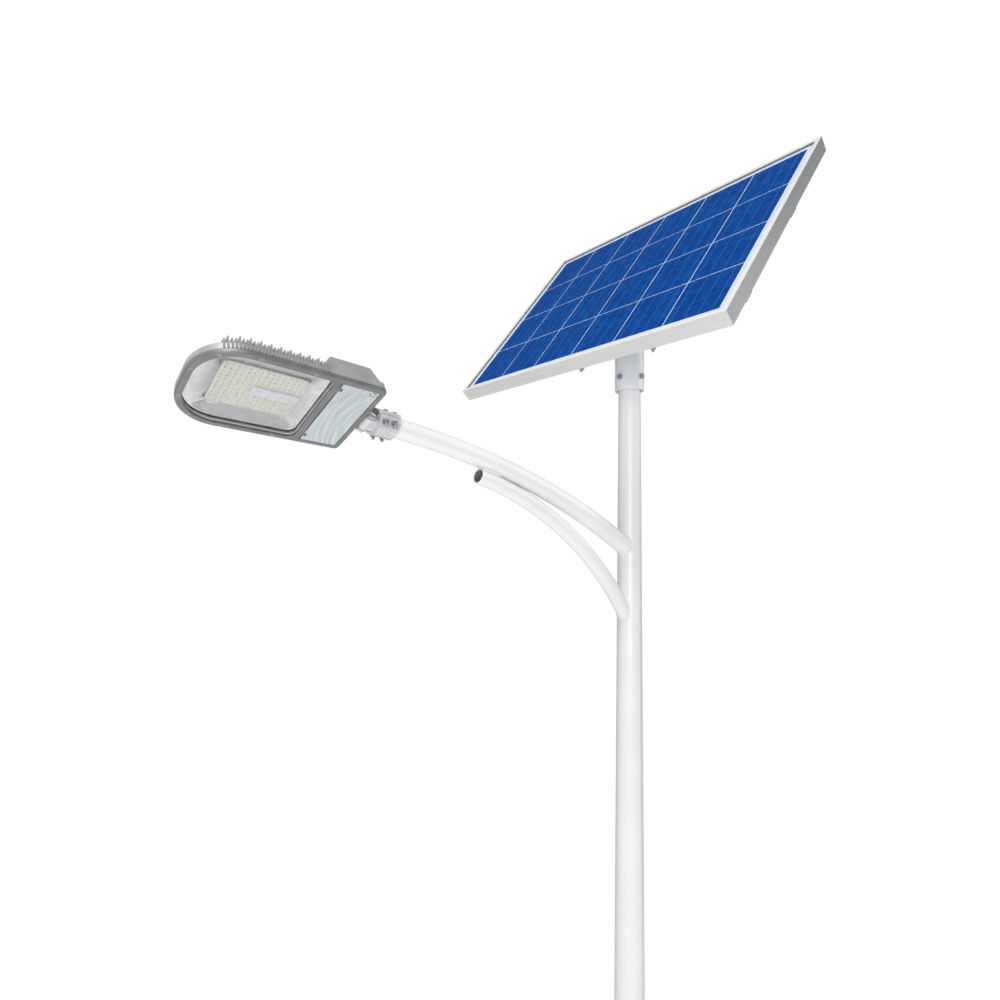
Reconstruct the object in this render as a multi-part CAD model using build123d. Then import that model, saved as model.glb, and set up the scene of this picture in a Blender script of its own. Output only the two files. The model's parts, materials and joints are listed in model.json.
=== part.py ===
"""Solar street lamp: tapered pole with a bowed arm, a tilting solar panel and an LED head.

Millimetres. Origin at the centre of the base flange's underside, +Z up the pole.
The arm and the low edge of the panel point to -Y, and the lamp is seen from its front along +Y.
Each function below makes one group of pieces, and returns them as a dictionary of node name to solid.
"""
from build123d import *
from math import asin, cos, degrees, radians, sin, sqrt
import os

# ---------------------------------------------------------------- general fits
RUN = 0.05            # radial gap of a shaft that turns in its hole
SLIP = 0.3            # gap between faces that pass each other
HOLE_GAP = 0.25       # radial gap of a bolt in a plain hole

# ---------------------------------------------------------------- pole and base
POLE_TOP_Z = 3041.0
POLE_BASE_OD = 98.0
POLE_TOP_OD = 56.0
POLE_WALL = 3.0
CAP_THICK = 4.9
FLANGE_SIDE = 260.0
FLANGE_THICK = 14.0
FLANGE_CORNER_R = 18.0
ANCHOR_SPACING = 200.0
ANCHOR_HOLE_R = 9.0
CABLE_ENTRY_R = 30.0
GUSSET_HEIGHT = 120.0
GUSSET_REACH = 62.0
GUSSET_THICK = 6.0

# ---------------------------------------------------------------- bowed arm and strut
ARM_DROP = 569.0          # the arm's centre line meets the pole's axis this far below the pole's top
ARM_ROOT_Z = POLE_TOP_Z - ARM_DROP
ARM_ROOT_SLOPE = 30.1
ARM_END_SLOPE = 8.5
ARM_BOW_R = 2000.0
ARM_ROOT_OD = 48.0
ARM_END_OD = 39.0
ARM_STUB = 51.4           # straight end that the lamp's clamp grips
ARM_WALL = 2.5
STRUT_REACH = 515.0
STRUT_ROOT_SLOPE = 56.8
STRUT_ROOT_OD = 40.0
STRUT_END_OD = 34.0
STRUT_WALL = 2.5
WELD_LEG = 7.0
WELD_SINK = 0.8
WELD_LENGTH = 45.0

# ---------------------------------------------------------------- panel sleeve and yoke
SLEEVE_LAP = 141.0        # how far the sleeve reaches down over the pole
SLEEVE_BOTTOM_Z = POLE_TOP_Z - SLEEVE_LAP
SLEEVE_OD = 76.0
SLEEVE_WALL = 3.0
SLEEVE_PLATE = 5.0
CLAMP_BOLT_RISE = 34.0
CLAMP_BOLT_D = 8.0
CROSSBAR_SIDE = 40.0
CROSSBAR_WALL = 3.0
EAR_THICK = 5.0
EAR_OUTER_X = 116.0
PIVOT_BOLT_D = 12.0
LOCK_BOLT_D = 8.0
LOCK_RADIUS = 62.0
TILT_UP = 10.0            # panel may go this much steeper than at rest
TILT_DOWN = 30.0          # and this much flatter

# ---------------------------------------------------------------- solar panel
PANEL_LENGTH = 835.0
PANEL_WIDTH = 670.0
PANEL_DEPTH = 35.0
PANEL_TILT = 50.0
PANEL_FORWARD = 8.5       # the panel's back centre lies this far in front of the pole's axis
FRAME_WALL = 2.0
FRAME_LIP = 11.0
FRAME_LIP_THICK = 1.8
FRAME_LEDGE = 9.0
FRAME_FLANGE = 25.0
GLASS_THICK = 3.2
CELL_THICK = 0.3
BACKSHEET_THICK = 0.8
CELL_COLUMNS = 6
CELL_ROWS = 4
CELL_MARGIN = 25.0
CELL_GAP = 2.4
RIBBONS_PER_CELL = 4
RIBBON_WIDTH = 1.6
RIBBON_THICK = 0.15
RAIL_SIDE = 40.0
RAIL_WALL = 2.5
RAIL_INSET = 170.0        # a cross rail's middle lies this far inside the frame's long edge
RAIL_SHORTFALL = 41.5     # and its end this far inside the short edge
RAIL_V = PANEL_WIDTH / 2 - RAIL_INSET
RAIL_HALF_LENGTH = PANEL_LENGTH / 2 - RAIL_SHORTFALL
CLIP_THICK = 3.0
CLIP_WIDTH = 40.0
CLIP_BOLT_D = 6.0
CLIP_FLANGE_X = PANEL_LENGTH / 2 - FRAME_FLANGE * 0.56
RAIL_BOLT_D = 8.0
BEAM_LEG = 50.0
BEAM_THICK = 4.0
BEAM_LOW_V = -(RAIL_V + 26.0)
BEAM_HIGH_V = RAIL_V + 13.0
BEAM_PIVOT_SHARE = 0.58   # the pivot lies this share of the way down the beam's upright leg
BOX_LENGTH = 110.0
BOX_WIDTH = 84.0
BOX_DEPTH = 20.0
BOX_V = 60.0
BATTERY_LENGTH = 260.0
BATTERY_WIDTH = 112.0
BATTERY_DEPTH = 70.0
BATTERY_GAP = 14.5        # between the case and the strap on the upper rail
BATTERY_WALL = 3.0
STRAP_THICK = 2.5
BATTERY_V = RAIL_V + RAIL_SIDE / 2 + STRAP_THICK + BATTERY_GAP + BATTERY_WIDTH / 2

# ---------------------------------------------------------------- spigot clamp and knuckle
CLAMP_GRIP = 40.0
CLAMP_WALL = 5.0
CLAMP_OUTER_R = ARM_END_OD / 2 + CLAMP_WALL
CLAMP_END = -3.0          # all along the arm, from the clamp's datum
CLAMP_FLANGE_THICK = 8.0
CLAMP_SPLIT = 1.5
SADDLE_BOLT_D = 6.0
CLAMP_BOLT_Y = CLAMP_OUTER_R + 0.5
CLAMP_FLANGE_Y = CLAMP_BOLT_Y + 5.5
LUG_R = 13.0
LUG_HALF = 15.0
KNUCKLE_X = 11.0
KNUCKLE_BOLT_D = 10.0
LAMP_EAR_THICK = 8.0
HEAD_ROLL = 24.0
HEAD_DROOP = 4.0

# ---------------------------------------------------------------- lamp head
HEAD_LENGTH = 300.0
HEAD_WIDTH = 198.0
HEAD_TIP_R = 75.0
HEAD_REAR_R = 10.0
AXIS_RISE = 10.0          # height of the arm's axis over the rim
EAR_SETBACK = 14.0        # knuckle's distance behind the rear edge
RIM_THICK = 8.0
RIM_WIDTH = 10.0
BODY_TOP = 22.0
BODY_INSET = 1.0
BODY_WALL = 7.0
DIVIDER_REAR = 81.0
DIVIDER_FRONT = 92.0
HUMP_FRONT = 102.0
HUMP_TOP = 46.0
HUMP_HALF = HEAD_WIDTH / 2 - 5.0
HUMP_REAR_LOW = 6.0
HUMP_REAR_HIGH = 26.0
HUMP_WALL = 4.0
FIN_PITCH = 5.0
FIN_THICK = 2.0
FIN_FIRST = 108.0
FIN_END_GAP = 37.0        # bare stretch behind the free end
FIN_COUNT = int((HEAD_LENGTH - FIN_END_GAP - FIN_FIRST) / FIN_PITCH) + 1
FIN_PROUD = 2.0
FIN_LOW = 9.0
FIN_TOP = 25.0
FIN_TALL = 29.0
LENS_LEDGE = 2.2
LENS_THICK = 3.0
LEDGE_HEIGHT = 3.0
RIM_SCREW_INSET = 5.2
RIM_SCREW_R = 2.0
RIM_SCREW_BITE = 9.0      # how far a rim screw reaches into the housing's wall
BOARD_REAR = 116.0
BOARD_FRONT = HEAD_LENGTH - 47.0
BOARD_HALF = HEAD_WIDTH / 2 - 46.0
BOARD_Z = 17.0
BOARD_THICK = 1.6
BOARD_LAP = 4.0
REFLECTOR_SHEET = 1.0
REFLECTOR_INSET = 9.0
CHIP_SIZE = 3.0
CHIP_THICK = 0.9
CHIP_COLUMNS = 15
CHIP_ROWS = 11
COVER_COLUMNS = 9         # chip places that the wire cover takes up, from the board's rear
COVER_ROWS = 3
COVER_MARGIN = 4.0
COVER_THICK = 4.0
DOOR_REAR = 10.0
DOOR_HALF = HEAD_WIDTH / 2 - 10.0
DOOR_GAP = 1.0
DOOR_LOW = 0.6
DOOR_THICK = 2.6
DOOR_RIB_HALF = DOOR_HALF - 27.0
HINGE_X = 76.4
HINGE_Z = 3.5
HINGE_R = 2.9
HINGE_PIN_R = 1.5
HINGE_Y = DOOR_HALF - 21.0
HINGE_BARREL = 12.0
HINGE_LUG = 8.0
LATCH_X = 19.0
LATCH_Y = DOOR_HALF - 10.0
LATCH_STUD_R = 4.0
LATCH_HEAD_R = 6.5
LATCH_CAM = 13.0


# ================================================================ shared shapes
def box(x0, x1, y0, y1, z0, z1):
    """A box given by its two limits on each axis."""
    return Pos((x0 + x1) / 2, (y0 + y1) / 2, (z0 + z1) / 2) * Box(x1 - x0, y1 - y0, z1 - z0)


def rod(radius, start, end):
    """A round bar between two points."""
    start, end = Vector(*start), Vector(*end)
    axis = end - start
    return Plane(origin=start, z_dir=axis).location * Cylinder(radius, axis.length,
                                                               align=(Align.CENTER, Align.CENTER, Align.MIN))


def hex_bar(across_flats, start, end):
    """A hexagonal bar between two points."""
    start, end = Vector(*start), Vector(*end)
    axis = end - start
    face = RegularPolygon(across_flats / 2, 6, major_radius=False)
    return Plane(origin=start, z_dir=axis).location * extrude(face, axis.length)


def bolt(diameter, across_flats, head, seat, tip):
    """A hex-head bolt: its shank runs from seat to tip, with the head behind the seat."""
    seat, tip = Vector(*seat), Vector(*tip)
    back = (seat - tip).normalized() * head
    return hex_bar(across_flats, seat, seat + back) + rod(diameter / 2, seat, tip)


def nut(diameter, across_flats, start, end):
    """A plain hexagonal nut between two points."""
    return hex_bar(across_flats, start, end) - rod(diameter / 2 + RUN, start, end)


def rounded(face, radii):
    """Round a rectangle's corners, with one radius for the -X pair and one for the +X pair."""
    rear, front = radii
    limits = face.bounding_box()
    face = fillet([v for v in face.vertices() if v.X > limits.center().X], front)
    return fillet([v for v in face.vertices() if abs(v.X - limits.min.X) < 1e-6], rear)


def both_sides(solid):
    """A piece and its mirror image across X, as two solids of one node."""
    return Compound(children=[solid, mirror(solid, Plane.YZ)])


def pole_radius(z):
    """Outside radius of the tapered pole at a height."""
    return (POLE_BASE_OD + (POLE_TOP_OD - POLE_BASE_OD) * z / POLE_TOP_Z) / 2


def pole_solid(inset=0.0, low=FLANGE_THICK, high=POLE_TOP_Z):
    """The pole's outer cone, or the cone an inset inside it."""
    return Pos(0, 0, low) * Cone(pole_radius(low) - inset, pole_radius(high) - inset, high - low,
                                 align=(Align.CENTER, Align.CENTER, Align.MIN))


# ================================================================ pole, base, arm and strut
def arm_point(slope):
    """Centre-line point of the arm's bow where it climbs at a slope."""
    reach = ARM_BOW_R * (sin(radians(ARM_ROOT_SLOPE)) - sin(radians(slope)))
    rise = ARM_BOW_R * (cos(radians(slope)) - cos(radians(ARM_ROOT_SLOPE)))
    return Vector(0, -reach, ARM_ROOT_Z + rise)


def climb(slope):
    """Unit direction that points out along -Y and climbs at a slope."""
    return Vector(0, -cos(radians(slope)), sin(radians(slope)))


ARM_BOW_END = arm_point(ARM_END_SLOPE)
ARM_TIP = ARM_BOW_END + climb(ARM_END_SLOPE) * ARM_STUB


def tapered_bow(start, middle, end, radius_start, radius_end):
    """A solid round bar that tapers along an arc."""
    path = ThreePointArc(start, middle, end)
    growth = radius_end - radius_start
    sections = [Plane(origin=path @ t, z_dir=path % t) * Circle(radius_start + growth * t) for t in (0, 0.5, 1)]
    return sweep(sections=Sketch() + sections, path=path, multisection=True)


def strut_shape():
    """End slope, bow radius and root height that lay the strut's free end along the arm's underside."""
    end_slope = degrees(asin(sin(radians(ARM_ROOT_SLOPE)) - STRUT_REACH / ARM_BOW_R))
    bow_r = STRUT_REACH / (sin(radians(STRUT_ROOT_SLOPE)) - sin(radians(end_slope)))
    share = (ARM_ROOT_SLOPE - end_slope) / (ARM_ROOT_SLOPE - ARM_END_SLOPE)
    arm_r = (ARM_ROOT_OD + (ARM_END_OD - ARM_ROOT_OD) * share) / 2
    drop = (arm_r + STRUT_END_OD / 2 + SLIP) / cos(radians(end_slope))
    end_z = arm_point(end_slope).Z - drop
    root_z = end_z - bow_r * (cos(radians(end_slope)) - cos(radians(STRUT_ROOT_SLOPE)))
    return end_slope, bow_r, root_z, arm_r


def make_pole():
    parts = {}
    parts["pole_shaft"] = pole_solid() - pole_solid(POLE_WALL)
    parts["pole_cap"] = Pos(0, 0, POLE_TOP_Z) * Cylinder(POLE_TOP_OD / 2, CAP_THICK,
                                                        align=(Align.CENTER, Align.CENTER, Align.MIN))
    plate = RectangleRounded(FLANGE_SIDE, FLANGE_SIDE, FLANGE_CORNER_R)
    plate -= GridLocations(ANCHOR_SPACING, ANCHOR_SPACING, 2, 2) * Circle(ANCHOR_HOLE_R)
    plate -= Circle(CABLE_ENTRY_R)
    parts["base_flange"] = extrude(plate, FLANGE_THICK)
    root = pole_radius(FLANGE_THICK) - 0.5
    profile = Plane.XZ * make_face(Polyline((root, FLANGE_THICK), (root + GUSSET_REACH, FLANGE_THICK),
                                            (root + GUSSET_REACH, FLANGE_THICK + 12),
                                            (root + 8, FLANGE_THICK + GUSSET_HEIGHT),
                                            (root - 4, FLANGE_THICK + GUSSET_HEIGHT), close=True))
    blade = extrude(profile, GUSSET_THICK / 2, both=True) - pole_solid()
    parts["base_gussets"] = Compound(children=[Rot(0, 0, turn) * blade for turn in (0, 90, 180, 270)])
    return parts


def make_arm():
    parts = {}
    root, end = arm_point(ARM_ROOT_SLOPE), ARM_BOW_END
    middle = arm_point((ARM_ROOT_SLOPE + ARM_END_SLOPE) / 2)
    outer = tapered_bow(root, middle, end, ARM_ROOT_OD / 2, ARM_END_OD / 2)
    inner = tapered_bow(root, middle, end, ARM_ROOT_OD / 2 - ARM_WALL, ARM_END_OD / 2 - ARM_WALL)
    stub = rod(ARM_END_OD / 2, end, ARM_TIP) - rod(ARM_END_OD / 2 - ARM_WALL, end, ARM_TIP)
    parts["arm_tube"] = (outer - inner) + stub - pole_solid()

    end_slope, bow_r, root_z, arm_r = strut_shape()

    def strut_point(slope):
        reach = bow_r * (sin(radians(STRUT_ROOT_SLOPE)) - sin(radians(slope)))
        return Vector(0, -reach, root_z + bow_r * (cos(radians(slope)) - cos(radians(STRUT_ROOT_SLOPE))))

    path = [strut_point(slope) for slope in (STRUT_ROOT_SLOPE, (STRUT_ROOT_SLOPE + end_slope) / 2, end_slope)]
    strut_outer = tapered_bow(*path, STRUT_ROOT_OD / 2, STRUT_END_OD / 2)
    strut_inner = tapered_bow(*path, STRUT_ROOT_OD / 2 - STRUT_WALL, STRUT_END_OD / 2 - STRUT_WALL)
    parts["strut_tube"] = strut_outer - strut_inner - pole_solid()

    # each weld bead lies in the groove between the two tubes, sunk a little into both
    bead_r = WELD_LEG / 2
    strut_r = STRUT_END_OD / 2
    to_strut, to_arm = strut_r + bead_r - WELD_SINK, arm_r + bead_r - WELD_SINK
    apart = strut_r + arm_r + SLIP
    lift = (to_strut ** 2 - to_arm ** 2 + apart ** 2) / (2 * apart)
    bead_x = sqrt(to_strut ** 2 - lift ** 2)
    along = climb(end_slope)
    up = Vector(0, sin(radians(end_slope)), cos(radians(end_slope)))
    far = strut_point(end_slope) + up * lift - along * 4 + Vector(bead_x, 0, 0)
    parts["arm_strut_welds"] = both_sides(rod(bead_r, far, far - along * WELD_LENGTH))
    return parts


# ================================================================ sleeve and yoke that carry the panel
THRUST_Z = POLE_TOP_Z + CAP_THICK + 2 * RUN
SLEEVE_TOP_Z = THRUST_Z + SLEEVE_PLATE
PIVOT = Vector(0, 0, SLEEVE_TOP_Z + CROSSBAR_SIDE / 2)
UP_SLOPE = Vector(0, cos(radians(PANEL_TILT)), sin(radians(PANEL_TILT)))
OUT_OF_GLASS = Vector(0, -sin(radians(PANEL_TILT)), cos(radians(PANEL_TILT)))
PIVOT_W = -(CLIP_THICK + RAIL_SIDE + BEAM_LEG * BEAM_PIVOT_SHARE)
PIVOT_V = (PANEL_FORWARD - PIVOT_W * OUT_OF_GLASS.Y) / UP_SLOPE.Y
PANEL_PLANE = Plane(origin=PIVOT - UP_SLOPE * PIVOT_V - OUT_OF_GLASS * PIVOT_W, x_dir=(1, 0, 0),
                    z_dir=OUT_OF_GLASS)


def make_yoke():
    parts = {}
    bolt_z = SLEEVE_BOTTOM_Z + CLAMP_BOLT_RISE
    base = (Align.CENTER, Align.CENTER, Align.MIN)
    height = SLEEVE_TOP_Z - SLEEVE_BOTTOM_Z
    bore = Cylinder(SLEEVE_OD / 2 - SLEEVE_WALL, height, align=base)
    sleeve = Pos(0, 0, SLEEVE_BOTTOM_Z) * (Cylinder(SLEEVE_OD / 2, height, align=base) - bore)
    bolts = []
    inner = pole_radius(bolt_z) + SLIP
    for turn in (0, 90, 180, 270):
        spin = Rot(0, 0, turn)
        sleeve -= spin * rod(CLAMP_BOLT_D / 2 + RUN, (inner, 0, bolt_z), (SLEEVE_OD, 0, bolt_z))
        seat = SLEEVE_OD / 2 + 1.0
        bolts.append(spin * bolt(CLAMP_BOLT_D, 13, 5.3, (seat, 0, bolt_z), (inner, 0, bolt_z)))
    parts["panel_sleeve"] = sleeve
    parts["sleeve_clamp_bolts"] = Compound(children=bolts)
    parts["sleeve_thrust_plate"] = Pos(0, 0, THRUST_Z) * Cylinder(SLEEVE_OD / 2 - SLEEVE_WALL, SLEEVE_PLATE,
                                                                 align=base)
    half = CROSSBAR_SIDE / 2
    reach = EAR_OUTER_X - EAR_THICK
    bar = box(-reach, reach, -half, half, PIVOT.Z - half, PIVOT.Z + half)
    hollow = half - CROSSBAR_WALL
    parts["yoke_crossbar"] = bar - box(-reach, reach, -hollow, hollow, PIVOT.Z - hollow, PIVOT.Z + hollow)

    slot_r = LOCK_BOLT_D / 2 + SLIP
    low, high = PANEL_TILT - TILT_DOWN, PANEL_TILT + TILT_UP
    outer = LOCK_RADIUS + 13
    spread = 12.0

    def polar(radius, angle):
        return (radius * cos(radians(angle)), radius * sin(radians(angle)))

    wedge = make_face(Polyline((0, 0), polar(2 * outer, low - spread), polar(2 * outer, (low + high) / 2),
                               polar(2 * outer, high + spread), close=True))
    ear = Circle(outer) & wedge
    ear += Circle(24)
    band = Circle(LOCK_RADIUS + slot_r) - Circle(LOCK_RADIUS - slot_r)
    cut = make_face(Polyline((0, 0), polar(2 * outer, low), polar(2 * outer, (low + high) / 2),
                             polar(2 * outer, high), close=True))
    slot = band & cut
    slot += Pos(*polar(LOCK_RADIUS, low)) * Circle(slot_r)
    slot += Pos(*polar(LOCK_RADIUS, high)) * Circle(slot_r)
    ear -= slot
    ear -= Circle(PIVOT_BOLT_D / 2 + RUN)
    ear_plane = Plane(origin=(EAR_OUTER_X - EAR_THICK, 0, PIVOT.Z), x_dir=(0, 1, 0), z_dir=(1, 0, 0))
    parts["yoke_ears"] = both_sides(extrude(ear_plane * ear, EAR_THICK))

    beam_out = EAR_OUTER_X + SLIP + BEAM_THICK
    stud_start = EAR_OUTER_X - EAR_THICK - 6
    stud = rod(PIVOT_BOLT_D / 2, (stud_start, 0, PIVOT.Z), (beam_out + SLIP + 15, 0, PIVOT.Z))
    parts["tilt_pivot_studs"] = both_sides(stud)
    parts["tilt_pivot_nuts"] = both_sides(nut(PIVOT_BOLT_D, 19, (beam_out + SLIP, 0, PIVOT.Z),
                                              (beam_out + SLIP + 10, 0, PIVOT.Z)))
    return parts


# ================================================================ solar panel, in its own frame
# X along the long side, Y up the slope, Z out of the glass with 0 at the back of the frame.
def frame_rail(length, width, quarter):
    """One mitred rail along the -Y edge of a length by width frame, turned to its place."""
    deep = PANEL_DEPTH
    ledge_top = deep - FRAME_LIP_THICK - GLASS_THICK - CELL_THICK - BACKSHEET_THICK
    profile = box(-length / 2, length / 2, 0, FRAME_WALL, 0, deep)
    profile += box(-length / 2, length / 2, 0, FRAME_LIP, deep - FRAME_LIP_THICK, deep)
    profile += box(-length / 2, length / 2, 0, FRAME_LEDGE, ledge_top - FRAME_WALL, ledge_top)
    profile += box(-length / 2, length / 2, 0, FRAME_FLANGE, 0, FRAME_WALL)
    reach = FRAME_FLANGE + 5
    mitre = make_face(Polyline((-length / 2, 0), (length / 2, 0), (length / 2 - reach, reach),
                               (reach - length / 2, reach), close=True))
    profile &= extrude(mitre, deep)
    return Rot(0, 0, 90 * quarter) * Pos(0, -width / 2, 0) * profile


def make_laminate():
    parts = {}
    long_rails = [frame_rail(PANEL_LENGTH, PANEL_WIDTH, q) for q in (0, 2)]
    short_rails = [frame_rail(PANEL_WIDTH, PANEL_LENGTH, q) for q in (1, 3)]
    clip_holes = [rod(CLIP_BOLT_D / 2 + HOLE_GAP, (x, v, -1), (x, v, FRAME_WALL + 1))
                  for x in (-CLIP_FLANGE_X, CLIP_FLANGE_X) for v in (-RAIL_V, RAIL_V)]
    short_rails = [rail - clip_holes for rail in short_rails]
    parts["frame_long_rails"] = Compound(children=long_rails)
    parts["frame_short_rails"] = Compound(children=short_rails)

    glass_top = PANEL_DEPTH - FRAME_LIP_THICK
    glass_low = glass_top - GLASS_THICK
    cell_low = glass_low - CELL_THICK
    half_x = PANEL_LENGTH / 2 - FRAME_WALL - SLIP
    half_y = PANEL_WIDTH / 2 - FRAME_WALL - SLIP
    parts["panel_glass"] = box(-half_x, half_x, -half_y, half_y, glass_low, glass_top)
    parts["backsheet"] = box(-half_x, half_x, -half_y, half_y, cell_low - BACKSHEET_THICK, cell_low)

    pitch_x = (PANEL_LENGTH - 2 * CELL_MARGIN) / CELL_COLUMNS
    pitch_y = (PANEL_WIDTH - 2 * CELL_MARGIN) / CELL_ROWS
    cell_x, cell_y = pitch_x - CELL_GAP, pitch_y - CELL_GAP
    body = CELL_THICK - RIBBON_THICK
    cell = Pos(0, 0, cell_low + body / 2) * Box(cell_x, cell_y, body)
    places = GridLocations(pitch_x, pitch_y, CELL_COLUMNS, CELL_ROWS)
    parts["solar_cells"] = Compound(children=[place * cell for place in places])
    spacing = cell_x / RIBBONS_PER_CELL
    ribbon_length = pitch_y * CELL_ROWS - CELL_GAP
    ribbon = Pos(0, 0, glass_low - RIBBON_THICK / 2) * Box(RIBBON_WIDTH, ribbon_length, RIBBON_THICK)
    columns = [pitch_x * (column - (CELL_COLUMNS - 1) / 2) for column in range(CELL_COLUMNS)]
    offsets = [spacing * (n - (RIBBONS_PER_CELL - 1) / 2) for n in range(RIBBONS_PER_CELL)]
    strings = [Pos(column + offset, 0, 0) * ribbon for column in columns for offset in offsets]
    parts["cell_ribbons"] = Compound(children=strings)

    key_reach, key_thick, key_low, key_high = 42.0, 5.0, FRAME_WALL + 1, 22.0
    x, y = PANEL_LENGTH / 2 - FRAME_WALL, PANEL_WIDTH / 2 - FRAME_WALL
    key = box(x - key_reach, x, y - key_thick, y, key_low, key_high)
    key += box(x - key_thick, x, y - key_reach, y, key_low, key_high)
    keys = [key, mirror(key, Plane.YZ), mirror(key, Plane.XZ), mirror(mirror(key, Plane.YZ), Plane.XZ)]
    parts["corner_keys"] = Compound(children=keys)

    top = cell_low - BACKSHEET_THICK
    shell = Pos(0, BOX_V, top - BOX_DEPTH / 2) * Box(BOX_LENGTH, BOX_WIDTH, BOX_DEPTH)
    shell = fillet(shell.edges().filter_by(Axis.Z), 5)
    lid_z = top - BOX_DEPTH
    shell -= Pos(0, BOX_V, lid_z + (BOX_DEPTH - 3) / 2) * Box(BOX_LENGTH - 6, BOX_WIDTH - 6, BOX_DEPTH - 3)
    gland_y = BOX_V - BOX_WIDTH / 2
    gland_z = top - BOX_DEPTH / 2
    for x in (-24, 24):
        shell -= rod(5 + RUN, (x, gland_y - 1, gland_z), (x, gland_y + 5, gland_z))
    parts["junction_box"] = shell
    lid = extrude(Pos(0, BOX_V) * RectangleRounded(BOX_LENGTH, BOX_WIDTH, 5), 2.5)
    parts["junction_box_lid"] = Pos(0, 0, lid_z - 2.5) * lid
    glands = [hex_bar(14, (x, gland_y, gland_z), (x, gland_y - 9, gland_z))
              + rod(5, (x, gland_y + 4, gland_z), (x, gland_y - 15, gland_z)) for x in (-24, 24)]
    parts["junction_box_glands"] = Compound(children=glands)
    return parts


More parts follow.
